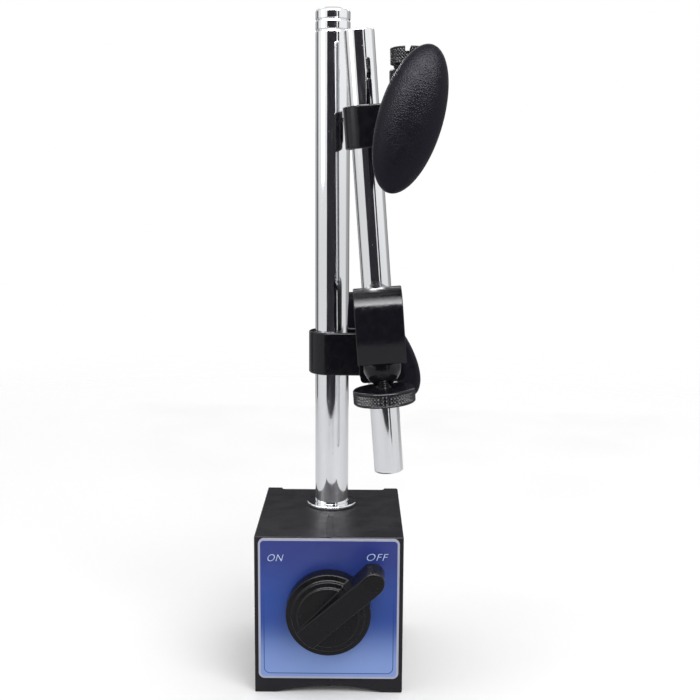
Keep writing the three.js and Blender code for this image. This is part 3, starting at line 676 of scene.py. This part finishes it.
def build_collar():
    low, high = extent("post_collar", POST)
    hole = POST_R + RUNNING
    profile = [(hole, low.z), (high.x, low.z), (high.x, high.z), (hole, high.z)]
    ring = rounded(profile, 0.4, ring=True)
    piece("collar", lathe(ring + ring[:1], 128), POST, "base", "chrome", ["post_collar"])


LETTER_HEIGHT = 2.35
LETTER_THICK = 0.02
LETTER_LIFT = 0.01
# name, word, left edge, foot and width
WORDS = (("print_on", "ON", -20.4, 46.8, 5.3), ("print_off", "OFF", 12.7, 47.2, 7.2))


def lettering(name, text, left, bottom, width, front):
    """Slanted capitals printed on the plate."""
    curve = bpy.data.curves.new(name, "FONT")
    curve.body = text
    curve.shear = 0.3
    curve.extrude = LETTER_THICK
    curve.offset = -0.018
    curve.space_character = 1.1
    holder = bpy.data.objects.new("scratch", curve)
    bpy.context.scene.collection.objects.link(holder)
    bpy.context.view_layer.update()
    bm = bmesh.new()
    drawn = holder.evaluated_get(bpy.context.evaluated_depsgraph_get())
    bm.from_mesh(bpy.data.meshes.new_from_object(drawn))
    bpy.data.objects.remove(holder)
    xs = [v.co.x for v in bm.verts]
    ys = [v.co.y for v in bm.verts]
    bmesh.ops.remove_doubles(bm, verts=bm.verts, dist=1e-5)
    shifted(bm, -min(xs), -min(ys))
    moved(bm, Matrix.Diagonal((width / (max(xs) - min(xs)), LETTER_HEIGHT / (max(ys) - min(ys)), 1, 1)))
    moved(bm, FORWARD)
    shifted(bm, left, front - LETTER_LIFT, bottom)
    piece(name, bm, BASE, "base", "printed_plate", finish=print_white())


def build_label():
    low, high = LABEL_LOW, LABEL_HIGH
    centre = (low + high) / 2
    where = BASE @ Matrix.Translation((0, 0, centre.z * MM))
    half_width, half_height = (high.x - low.x) / 2, (high.z - low.z) / 2
    sheet = plate(rounded_rectangle(half_width, half_height, LABEL_CORNER), low.y, high.y)
    hole = moved(bar(LABEL_HOLE_R, -high.y - 1, -low.y + 1, 96), FORWARD)
    shifted(hole, z=SWITCH.translation.z / MM - centre.z)
    front = low.y
    sheet = bevelled(cut(sheet, hole), 0.18, lambda middle: middle.y < front + 0.01, segments=2)
    piece("front_label", sheet, where, "base", "printed_plate", ["label_plate"])
    for word in WORDS:
        lettering(*word, front)


def build_back_cover():
    low, high = extent("back_cover", BASE)
    centre = (low + high) / 2
    half_width, half_height = (high.x - low.x) / 2, (high.z - low.z) / 2
    sheet = shifted(plate(rounded_rectangle(half_width, half_height, 2), low.y, high.y), z=centre.z)
    for index in (1, 2):
        a, b = extent(f"cover_screw_{index}", BASE)
        middle = (a + b) / 2
        hole = moved(bar(COVER_SCREW_R + 0.05, -high.y - 1, -low.y + 1, 32), FORWARD)
        sheet = cut(sheet, shifted(hole, x=middle.x, z=middle.z))
        head_r, shank_r, head = (b.x - a.x) / 2, COVER_SCREW_R - 0.05, high.y + 0.1
        outline = [(0, a.y), (shank_r, a.y), (shank_r, head), (head_r, head), (head_r, head + 0.5)]
        outline += [(head_r * 0.8, b.y - 0.15), (0, b.y)]
        screw = moved(lathe(rounded(outline, 0.3), 48), BACKWARD)
        moved(screw, Matrix.Scale(-1, 4, (0, 0, 1)))
        slot = block(-head_r - 1, head_r + 1, b.y - 0.7, b.y + 1, -0.4, 0.4)
        screw = bevelled(cut(screw, slot), 0.06, segments=1, angle=50)
        shifted(screw, middle.x, 0, middle.z)
        piece(f"rear_screw_{index}", screw, BASE, "base", "chrome", [f"cover_screw_{index}"])
    sheet = bevelled(sheet, 0.25)
    piece("rear_cover", sheet, BASE, "base", "aluminium", ["back_cover"])


# ---- switch

KNOB_VOXEL = 0.22
POINTER_ANGLE = 45
FACE_R = 11.8
FACE_TOP = 8.0  # heights from the back of the knob
SKIRT_TOP = 5.0
GRIP_UNDERSIDE = 6.2
GRIP_WIDTH = 8.0
GRIP_TAPER = 0.07
GRIP_SHOULDER = 6.0  # from the grip's end to where its crest starts to slope
GRIP_TAIL_STEP = 0.5  # what is left of the grip's height at its tail


def grip_outline(reach):
    half = GRIP_WIDTH / 2
    angle = math.degrees(math.asin(half / FACE_R))
    outline = arc((reach - half, 0), half, -90, 90, 20)
    return outline + arc((0, 0), FACE_R, 180 - angle, 180 + angle, 8)


def build_switch():
    found = points("switch_knob", SWITCH)
    skirt_r = -found[:, 0].min()
    back, front = -found[:, 1].max(), -found[:, 1].min()
    reach = np.hypot(found[:, 0], found[:, 2]).max()
    edge, face = back + SKIRT_TOP, back + FACE_TOP
    skirt = [(0, back), (skirt_r, back), (skirt_r, edge + 0.6), (12.1, edge + 1.2), (12.0, edge + 2)]
    skirt += [(10.2, edge + 2.3), (10.1, face), (0, face)]
    dial = moved(lathe(rounded(skirt, 0.45), 128), FORWARD)
    grip = plate(grip_outline(reach), -front, -back - GRIP_UNDERSIDE)
    for v in grip.verts:  # the grip tapers slightly to its crown
        share = (-v.co.y - back - GRIP_UNDERSIDE) / (front - back - GRIP_UNDERSIDE)
        v.co.z *= 1 - GRIP_TAPER * share
    tail, shoulder = (-FACE_R, face + GRIP_TAIL_STEP), (reach - GRIP_SHOULDER, front)
    slope = Vector((tail[1] - shoulder[1], tail[0] - shoulder[0], 0))
    everything = grip.verts[:] + grip.edges[:] + grip.faces[:]
    bmesh.ops.bisect_plane(
        grip, geom=everything, plane_co=(shoulder[0], -shoulder[1], 0), plane_no=slope, clear_outer=True
    )
    bmesh.ops.holes_fill(grip, edges=[edge for edge in grip.edges if edge.is_boundary])

    def on_crest(middle):
        return -middle.y > np.interp(middle.x, *zip(tail, shoulder)) - 0.1

    bevelled(grip, 0.7, on_crest, segments=4)
    moved(grip, Matrix.Rotation(-math.radians(POINTER_ANGLE), 4, "Y"))
    solid = remeshed(merged(dial, grip), KNOB_VOXEL, 3)
    piece("switch_grip", solid, SWITCH, "rotor", "black_plastic", ["switch_knob"], moulded_plastic(), 60)


# ---- posts

GROOVES = (7.9, 4.4)  # from the top of the post
GROOVE_DEPTH = 0.32


def build_main_post():
    low, high = extent("main_post", POST)
    radius, top, groove_r = POST_R, high.z, POST_R - GROOVE_DEPTH
    profile = [(0, low.z), (radius - 0.7, low.z), (radius, low.z + 0.7)]
    for z in (top - below for below in GROOVES):
        profile += [(radius, z - 0.4), (groove_r, z - 0.12), (groove_r, z + 0.12), (radius, z + 0.4)]
    profile += [(radius, top - 1.5), (radius - 0.35, top - 0.85), (radius - 1.3, top - 0.3), (0, top)]
    piece("post", lathe(rounded(profile, 0.5), 128), POST, "main_post", "chrome", ["main_post"], crease=50)


def build_sub_post():
    low, high = extent("sub_post", ARM)
    profile = [(0, low.z), (ROD_R, low.z), (ROD_R, high.z), (0, high.z)]
    piece("rod", lathe(rounded(profile, 0.6), 128), ARM, "sub_post", "chrome", ["sub_post"])


# ---- clamps

STRAP_CORNER = 4.5


def strap(node, where, inner, bolt_x, round_edge):
    """A strip bent round the bar, with two legs to +X that end in rounded corners."""
    high = extent(node, where)[1]
    outer, end, half = high.y, high.x, high.z
    outline = arc((0, 0), outer, 270, 90, 64) + [(end, outer), (end, inner)]
    outline += arc((0, 0), inner, 90, 270, 64) + [(end, -inner), (end, -outer)]
    strip = turned_plate(outline, -half, half)
    before, corner_x, corner_z = -outer - 1, end - STRAP_CORNER, half - STRAP_CORNER
    side = [(before, -half - 1), (corner_x, -half - 1)]
    side += arc((corner_x, -corner_z), STRAP_CORNER, -90, 0, 12)
    side += arc((corner_x, corner_z), STRAP_CORNER, 0, 90, 12)
    side += [(corner_x, half + 1), (before, half + 1)]
    strip = boolean(strip, "INTERSECT", plate(side, before, outer + 1))
    hole = shifted(moved(bar(BOLT_HOLE_R, before, outer + 1, 48), FORWARD), x=bolt_x)
    strip = cut(strip, hole)

    def edge_kept(middle):
        return math.hypot(middle.x - bolt_x, middle.z) > 4
    return bevelled(strip, round_edge, edge_kept, segments=4)


def ring_along_y(node, where, hole, edge):
    """A spacer or washer, with the CAD node's outside and a hole of its own."""
    low, high = extent(node, where)
    radius = (high.x - low.x) / 2
    profile = rounded([(hole, low.y), (radius, low.y), (radius, high.y), (hole, high.y)], edge, ring=True)
    ring = moved(lathe(profile + profile[:1], 96), BACKWARD)
    return shifted(ring, x=(low.x + high.x) / 2)


def build_cross_clamp():
    bolt_x = (BOLT.translation.x - CLAMP.translation.x) / MM
    bm = strap("cross_strap", CLAMP, POST_R + RUNNING, bolt_x, 0.6)
    piece("clamp_strap", bm, CLAMP, "cross_clamp", "black_steel", ["cross_strap"])
    spacer = ring_along_y("swivel_spacer", BOLT, 4.15, 0.4)
    piece("spacer", spacer, BOLT, "cross_clamp", "black_steel", ["swivel_spacer"])
    washer = ring_along_y("cross_washer", BOLT, BOLT_HOLE_R, 0.2)
    piece("rear_washer", washer, BOLT, "cross_clamp", "chrome", ["cross_washer"])


# ---- swivel

EYE_HALF_DEPTH = 6.3
DOME_RISE = 6.4
NECK_R = 4.0
SHANK_R = 3.0  # of both clamp bolts
SHANK_STEP = 0.125  # fine enough for the thread's relief


def build_eye_bolt():
    low, high = extent("eye_bolt", ARM)
    dome, shank_end = -low.y, high.y
    width, eye_r = high.x, high.z
    dome_start = dome - DOME_RISE
    neck_end = extent("cross_strap", ARM)[0].y - 0.03  # just clear of the strap
    shank = [(0, -shank_end), (SHANK_R - 0.5, -shank_end), (SHANK_R, 0.5 - shank_end), (SHANK_R, -neck_end)]
    neck = [(NECK_R, -neck_end), (NECK_R, 1 - EYE_HALF_DEPTH)]
    threaded = sampled(shank, SHANK_STEP) + neck + [(eye_r, 1 - EYE_HALF_DEPTH), (eye_r, dome_start)]
    crown = [(eye_r * x, dome_start + DOME_RISE * z) for x, z in arc((0, 0), 1, 4, 90, 20)]
    crown[-1] = (0, dome)
    relief = thread(1.0, 0.5, 0.4 - shank_end, -neck_end - 0.5)
    turned = moved(lathe(threaded + crown, 64, relief), FORWARD)
    # a little lower than the turned part, because the boolean loses the dome where faces are tangent
    eye = plate(rounded_rectangle(width, eye_r - 0.04, 1.5), -EYE_HALF_DEPTH, EYE_HALF_DEPTH)
    body = join(turned, eye)
    thumb_y = (Vector(joint("thumb_turn")["pos_m"]) - ARM.translation).y / MM
    body = cut(body, bar(5.35, -20, 20, 96), shifted(bar(2.1, -20, 20, 48), y=thumb_y))
    bevelled(body, 0.3, lambda middle: middle.y < EYE_HALF_DEPTH + 0.5, segments=2, angle=40)
    piece("eye_bolt_head", body, ARM, "swivel", "black_steel", ["eye_bolt"])


SPRING_THICK = 2.2
SPRING_BEND_R = 8.0
SPRING_BACK_R = 4.0
SPRING_SLOPE = math.radians(6.5)
SPRING_CURL_Z = 11.0
SPRING_CURL_R = 24.0
SPRING_LIP_Z = 2.0


def spring_side(inset, front, back, top, foot):
    """One face of the strip seen from the side, in depth and height: curled lip, two bends, back leg."""
    front, back, top = front - inset, back - inset, top - inset
    bend, rear, curl_r = SPRING_BEND_R - inset, SPRING_BACK_R - inset, SPRING_CURL_R - inset
    sweep = math.degrees(math.asin((SPRING_CURL_Z - SPRING_LIP_Z) / SPRING_CURL_R))
    slope = math.degrees(SPRING_SLOPE)
    drop = (back - rear + front - bend) * math.tan(SPRING_SLOPE)
    rear_z = top - bend - drop + (bend - rear) / math.cos(SPRING_SLOPE)
    side = arc((front - curl_r, SPRING_CURL_Z), curl_r, -sweep, 0, 16)
    side += arc((front - bend, top - bend), bend, 0, 90 + slope, 32)
    side += arc((rear - back, rear_z), rear, 90 + slope, 180, 20)
    return side + [(-back, foot)]


def build_fine_spring():
    found = points("fine_spring", ARM)
    half, front, back = found[:, 0].max(), -found[:, 1].min(), found[:, 1].max()
    foot, top = found[:, 2].min(), found[:, 2].max()
    outer = spring_side(0, front, back, top, foot)
    inner = spring_side(SPRING_THICK, front, back, top, foot)
    strip = turned_plate([(-y, z) for y, z in outer + inner[::-1]], -half, half)
    moved(strip, Matrix(((0, 0, 1, 0), (1, 0, 0, 0), (0, 1, 0, 0), (0, 0, 0, 1))))
    rod_hole = bar(ROD_R + RUNNING, SPRING_BEND_R, top + 1, 96)
    neck_hole = moved(bar(4.6, -back - 1, -6.3, 64), FORWARD)
    strip = cut(strip, rod_hole, neck_hole)
    bevelled(strip, 0.35, segments=3, angle=45)
    piece("fine_hook", strip, ARM, "fine_arm", "black_steel", ["fine_spring"])


def build_thumb_screw():
    where = place(joint("thumb_turn")["pos_m"], ROD_AXIS)
    found = points("thumb_screw", where)
    rim = found[np.hypot(found[:, 0], found[:, 1]) > 4, 2]
    radius, bottom, top, tip = found[:, 0].max(), rim.min(), rim.max(), found[:, 2].max()
    outline = [(0, bottom), (radius, bottom), (radius, top), (3.5, top), (0, top)]
    chamfered = sampled(rounded(outline, 0.7, steps=3), 0.2)
    disc = lathe(chamfered, 384, knurl(56, 0.4, radius, bottom + 0.5, top - 0.5))
    shank_r = 1.95
    shank = [(0, top - 1), (shank_r, top - 1), (shank_r, tip - 1), (shank_r - 0.9, tip), (0, tip)]
    screw = lathe(sampled(shank, 0.1), 40, thread(0.7, 0.35, top, tip - 0.5))
    piece("thumb_wheel", join(disc, screw), where, "thumb_screw", "black_steel", ["thumb_screw"], crease=40)


# ---- indicator holder

HEAD_R = 5.2
HEAD_HEIGHT = 4.0


def build_holder():
    bolt_x = (HOLDER.inverted() @ Vector(joint("holder_knob_turn")["pos_m"])).x / MM
    bm = strap("holder_strap", HOLDER, ROD_R + RUNNING, bolt_x, 0.5)
    piece("rod_strap", bm, HOLDER, "holder", "black_steel", ["holder_strap"])
    washer = ring_along_y("holder_washer", HOLDER, BOLT_HOLE_R, 0.2)
    piece("front_washer", washer, HOLDER, "holder", "chrome", ["holder_washer"])
    low, high = extent("holder_bolt", HOLDER)
    start, under, tip = -high.y, -high.y + HEAD_HEIGHT, -low.y
    shank = [(0, under - 1), (SHANK_R, under - 1), (SHANK_R, tip - 0.5), (SHANK_R - 0.5, tip), (0, tip)]
    screw = lathe(sampled(shank, SHANK_STEP), 64, thread(1.0, 0.5, under + 1, tip - 0.3))
    head = turned_plate(arc((0, 0), HEAD_R, 0, 300, 5), start, under)
    round_r = HEAD_R + 0.3
    chamfer = [(0, start), (HEAD_R - 0.9, start), (round_r, start + 0.7), (round_r, under), (0, under)]
    head = boolean(head, "INTERSECT", lathe(rounded(chamfer, 0.05, steps=1), 96))
    bevelled(head, 0.1, segments=1)
    bolt = shifted(moved(join(screw, head), FORWARD), x=bolt_x)
    piece("hex_bolt", bolt, HOLDER, "holder", "black_steel", ["holder_bolt"])


def build_stem_holder():
    low, high = extent("stem_holder", STEM)
    radius, hole_z = high.x, 8.6
    profile = [(0, low.z), (radius, low.z), (radius, high.z), (0, high.z)]
    body = lathe(rounded(profile, 0.7), 96)
    bolt_hole = moved(bar(BOLT_HOLE_R, -20, 20, 48), FORWARD)
    stem_hole = shifted(moved(bar(4.1, -20, 20, 64), SIDEWAYS), z=hole_z)
    screw_hole = bar(2.48, hole_z, high.z + 1, 48)
    body = cut(body, bolt_hole, stem_hole, screw_hole)
    bevelled(body, 0.25, segments=2, angle=40)
    piece("stem_body", body, STEM, "stem_holder", "black_steel", ["stem_holder"])


def build_stem_screw():
    low, high = extent("stem_screw", STEM)
    radius, tip, top = high.x, low.z, high.z
    head, neck = top - 5.3, top - 6.4
    outline = [(0, neck), (4.4, neck), (4.4, head), (radius, head), (radius, top), (0, top)]
    profile = sampled(rounded(outline, 0.5, steps=3), 0.2)
    knob = lathe(profile, 216, knurl(34, 0.3, radius, head + 0.35, top - 0.35))
    shank_r, root = 2.4, neck + 1
    outline = [(0, tip), (shank_r - 0.4, tip), (shank_r, tip + 0.4), (shank_r, root), (0, root)]
    shank = lathe(sampled(outline, 0.1), 48, thread(0.8, 0.4, tip + 0.4, neck - 0.1))
    slot = block(-0.9, 0.9, -radius - 1, radius + 1, top - 1.6, top + 1)
    screw = cut(join(knob, shank), slot)
    bevelled(screw, 0.12, lambda middle: middle.z > top - 1.7, segments=1, angle=50)
    piece("stem_thumbscrew", screw, STEM, "stem_screw", "black_steel", ["stem_screw"], crease=40)


# ---- oval clamp knobs

OVAL_RIM = 5.5  # from the back of the boss to the widest line
OVAL_BACK = 1.2
OVAL_BOSS_R = 6.6
KNOB_STEP = 0.5


def build_oval_knob(name, node, where, facing, body):
    """A pebble with its crown away from the bolt: facing is -1 for a crown towards -Y, 1 for +Y."""
    found = points(node, where)
    flat, depths = found[:, [0, 2]], facing * found[:, 1]
    start, depth = depths.min(), np.ptp(depths)
    tip = flat[np.hypot(flat[:, 0], flat[:, 1]).argmax()]
    half_length, turn = math.hypot(*tip), math.atan2(tip[1], tip[0])
    half_width = (flat @ np.array((math.sin(turn), -math.cos(turn)))).max()

    wall = [(0.0, OVAL_BACK), (0.86, OVAL_BACK), (0.955, OVAL_BACK + 0.9), (0.99, OVAL_RIM - 1.7)]
    rise = depth - OVAL_RIM
    crown = [(math.cos(a), OVAL_RIM + rise * math.sin(a)) for a in np.linspace(0, math.pi / 2, 60)]
    outline = sampled([(r * half_width, h) for r, h in wall + crown], KNOB_STEP)
    pebble = lathe([(max(r, 0), h) for r, h in outline], 160)
    for v in pebble.verts:
        v.co.x *= half_length / half_width

    solid = join(pebble, bar(OVAL_BOSS_R, 0.0, OVAL_BACK + 1, 96))
    solid = cut(solid, bar(4.7, -1, 7.2, 48))
    moved(solid, FORWARD if facing < 0 else FORWARD @ Matrix.Scale(-1, 4, (0, 0, 1)))
    moved(solid, Matrix.Rotation(-turn, 4, "Y"))
    shifted(solid, y=facing * start)
    piece(name, solid, where, body, "black_plastic", [node], crease=60)


# ---- CAD nodes that keep their shape

def dress_cad_nodes():
    slots = {row["node"]: row["material_slot"] for row in frame["record"]["subparts"]}
    for name, node in frame["nodes"].items():
        if node.hide_render:
            continue
        node.data.materials.clear()
        node.data.materials.append(FINISHES[slots[name]])
        if name != "stop_pin":
            rim = node.modifiers.new("edges", "BEVEL")
            rim.width = 0.15 * MM
            rim.segments = 2
            rim.angle_limit = math.radians(40)
        node.data.shade_smooth()
        node.data.set_sharp_from_angle(angle=math.radians(35))


# ---------------------------------------------------------------- stage, light and camera

def stage_plane(name, corners, material):
    mesh = bpy.data.meshes.new(name)
    mesh.from_pydata(corners, [], [(0, 1, 2, 3)])
    mesh.materials.append(material)
    obj = bpy.data.objects.new(name, mesh)
    bpy.context.scene.collection.objects.link(obj)
    return obj


FLOOR_FADE = (250, 750)  # the floor thins out into the background between these distances
FLOOR_WHITE = (0.93, 0.93, 0.93)
FLOOR_MIRRORED = (0.6, 0.6, 0.61)  # darker in the chrome, which keeps its modelling near the base


def build_floor():
    f = Finish("floor", FLOOR_WHITE, 0.6, Specular_IOR_Level=0.2)
    f.drive("Roughness", f.noise(60.0).ramp(0.3, 0.7, 0.55, 0.68))
    f.bump(f.noise(1.5, 2.0), 0.01)
    across, away = f.axis(0), f.axis(1)
    distance = (across * across + away * away).math("SQRT")
    f.drive("Alpha", distance.ramp(*FLOOR_FADE, 1.0, 0.0))
    f.blend(Field(f.tree, f.tree.nodes.new("ShaderNodeLightPath").outputs["Is Glossy Ray"]), FLOOR_MIRRORED)
    size = 3.0
    corners = [(-size, -size, 0), (size, -size, 0), (size, size, 0), (-size, size, 0)]
    stage_plane("floor", corners, f.material)


def for_shine_only(obj):
    for kind in ("camera", "diffuse", "shadow", "transmission"):
        setattr(obj, "visible_" + kind, False)


CARD_DISTANCE = 0.48
CARD_TOP = 0.40
CARDS = ((-37, 26), (33, 43), (150, 200), (236, 246))  # edges, in degrees round the post from the front


def build_cards():
    """Dark cards that only the shiny pieces see, so that chrome has dark bands from every side."""
    dark = Finish("card", (0.03, 0.029, 0.034), 1.0, Specular_IOR_Level=0).material
    for index, (start, end) in enumerate(CARDS):
        corners = []
        for angle, z in ((start, 0), (end, 0), (end, CARD_TOP), (start, CARD_TOP)):
            a = math.radians(angle)
            x = POST_POINT.x + CARD_DISTANCE * math.sin(a)
            corners.append((x, POST_POINT.y - CARD_DISTANCE * math.cos(a), z))
        for_shine_only(stage_plane(f"card_{index + 1}", corners, dark))


SOFTBOX_HALF_WIDTH = 0.3
SOFTBOX_DISTANCE = 0.42  # from the swivel
SOFTBOX_EDGES = (37, 72)  # elevation of its lower and upper edge, in degrees
SOFTBOX_STRENGTH = (24.0, 4.0)  # at its lower and upper edge


def build_softbox():
    """A bright panel above the camera that only the shiny pieces see."""
    f = Finish("softbox", (0, 0, 0), 1.0, Specular_IOR_Level=0, Emission_Color=(1, 0.98, 1, 1))
    corners = []
    for angle, side in zip(SOFTBOX_EDGES, (-1, 1)):
        a = math.radians(angle)
        reach = Vector((0, -math.cos(a), math.sin(a))) * SOFTBOX_DISTANCE
        for x in (side * SOFTBOX_HALF_WIDTH, -side * SOFTBOX_HALF_WIDTH):
            corners.append(BOLT.translation + reach + Vector((x, 0, 0)))
    bottom, top = corners[0].z / MM, corners[-1].z / MM
    f.drive("Emission Strength", f.axis(2).ramp(bottom, top, *SOFTBOX_STRENGTH))
    for_shine_only(stage_plane("softbox", corners, f.material))


def area_light(name, location, target, size, power):
    data = bpy.data.lights.new(name, "AREA")
    data.shape = "RECTANGLE"
    data.size, data.size_y = size
    data.energy = power
    light = bpy.data.objects.new(name, data)
    light.location = location
    light.rotation_mode = "QUATERNION"
    light.rotation_quaternion = (Vector(target) - Vector(location)).to_track_quat("-Z", "Y")
    bpy.context.scene.collection.objects.link(light)


BACKDROP = 1.0  # what the camera sees behind the object
AMBIENT = 0.74  # soft light from all round
MIRRORED = (0.78, 1.0)  # what shiny pieces see, from level with them up to a little higher
MIRRORED_FAR = 0.45  # the share of that on the far side, which darkens the edges of chrome


def build_light():
    world = bpy.data.worlds.new("studio")
    bpy.context.scene.world = world
    world.use_nodes = True
    tree = world.node_tree
    background = tree.nodes["Background"]
    background.inputs["Color"].default_value = (1.0, 1.0, 1.0, 1)
    direction = tree.nodes.new("ShaderNodeTexCoord")
    parts = tree.nodes.new("ShaderNodeSeparateXYZ")
    tree.links.new(direction.outputs["Generated"], parts.inputs[0])
    ray = tree.nodes.new("ShaderNodeLightPath")
    seen = Field(tree, ray.outputs["Is Camera Ray"])
    shiny = Field(tree, ray.outputs["Is Glossy Ray"])
    away, up = Field(tree, parts.outputs[1]), Field(tree, parts.outputs[2])
    level = up.ramp(-0.08, 0.14, *MIRRORED)
    far = away.ramp(0.15, 0.45) * up.ramp(0.15, 0.25, 1.0, 0.5)
    mirrored = level * (far * (MIRRORED_FAR - 1) + 1)
    soft = shiny * (mirrored - AMBIENT) + AMBIENT
    strength = seen * (soft * -1 + BACKDROP) + soft
    tree.links.new(strength.socket, background.inputs["Strength"])
    middle = (POST_POINT.x, 0, 0.11)
    area_light("key", (0.35, -0.5, 0.8), middle, (0.5, 0.5), 3.6)
    area_light("fill", (-0.7, -0.3, 0.45), middle, (0.35, 0.6), 1.2)
    area_light("rear", (0.1, 0.8, 0.6), middle, (0.8, 0.4), 1.5)


CAMERA_POINT = (POST_POINT.x + 0.0091, -0.3721, 0.1705)
CAMERA_YAW = -0.40
CAMERA_PITCH = -8.70
CAMERA_ROLL = 0.30
CAMERA_LENS = 55.09


def build_camera():
    yaw, pitch, roll = (math.radians(a) for a in (CAMERA_YAW, CAMERA_PITCH, CAMERA_ROLL))
    ahead = Vector((math.sin(yaw) * math.cos(pitch), math.cos(yaw) * math.cos(pitch), math.sin(pitch)))
    level = Vector((math.cos(yaw), -math.sin(yaw), 0))
    right = level * math.cos(roll) + level.cross(ahead) * math.sin(roll)
    data = bpy.data.cameras.new("camera")
    data.lens = CAMERA_LENS
    data.sensor_width = 36
    camera = bpy.data.objects.new("camera", data)
    matrix = Matrix((right, right.cross(ahead), -ahead)).transposed().to_4x4()
    matrix.translation = CAMERA_POINT
    camera.matrix_world = matrix
    bpy.context.scene.collection.objects.link(camera)
    bpy.context.scene.camera = camera


build_base()
build_collar()
build_label()
build_back_cover()
build_switch()
build_main_post()
build_sub_post()
build_cross_clamp()
build_eye_bolt()
build_fine_spring()
build_thumb_screw()
build_holder()
build_stem_holder()
build_stem_screw()
build_oval_knob("front_oval_knob", "holder_knob", FRONT_KNOB, -1, "holder_knob")
build_oval_knob("rear_oval_knob", "cross_knob", BACK_KNOB, 1, "cross_knob")
dress_cad_nodes()
build_floor()
build_cards()
build_softbox()
build_light()
build_camera()
bpy.context.scene.view_settings.view_transform = "Standard"
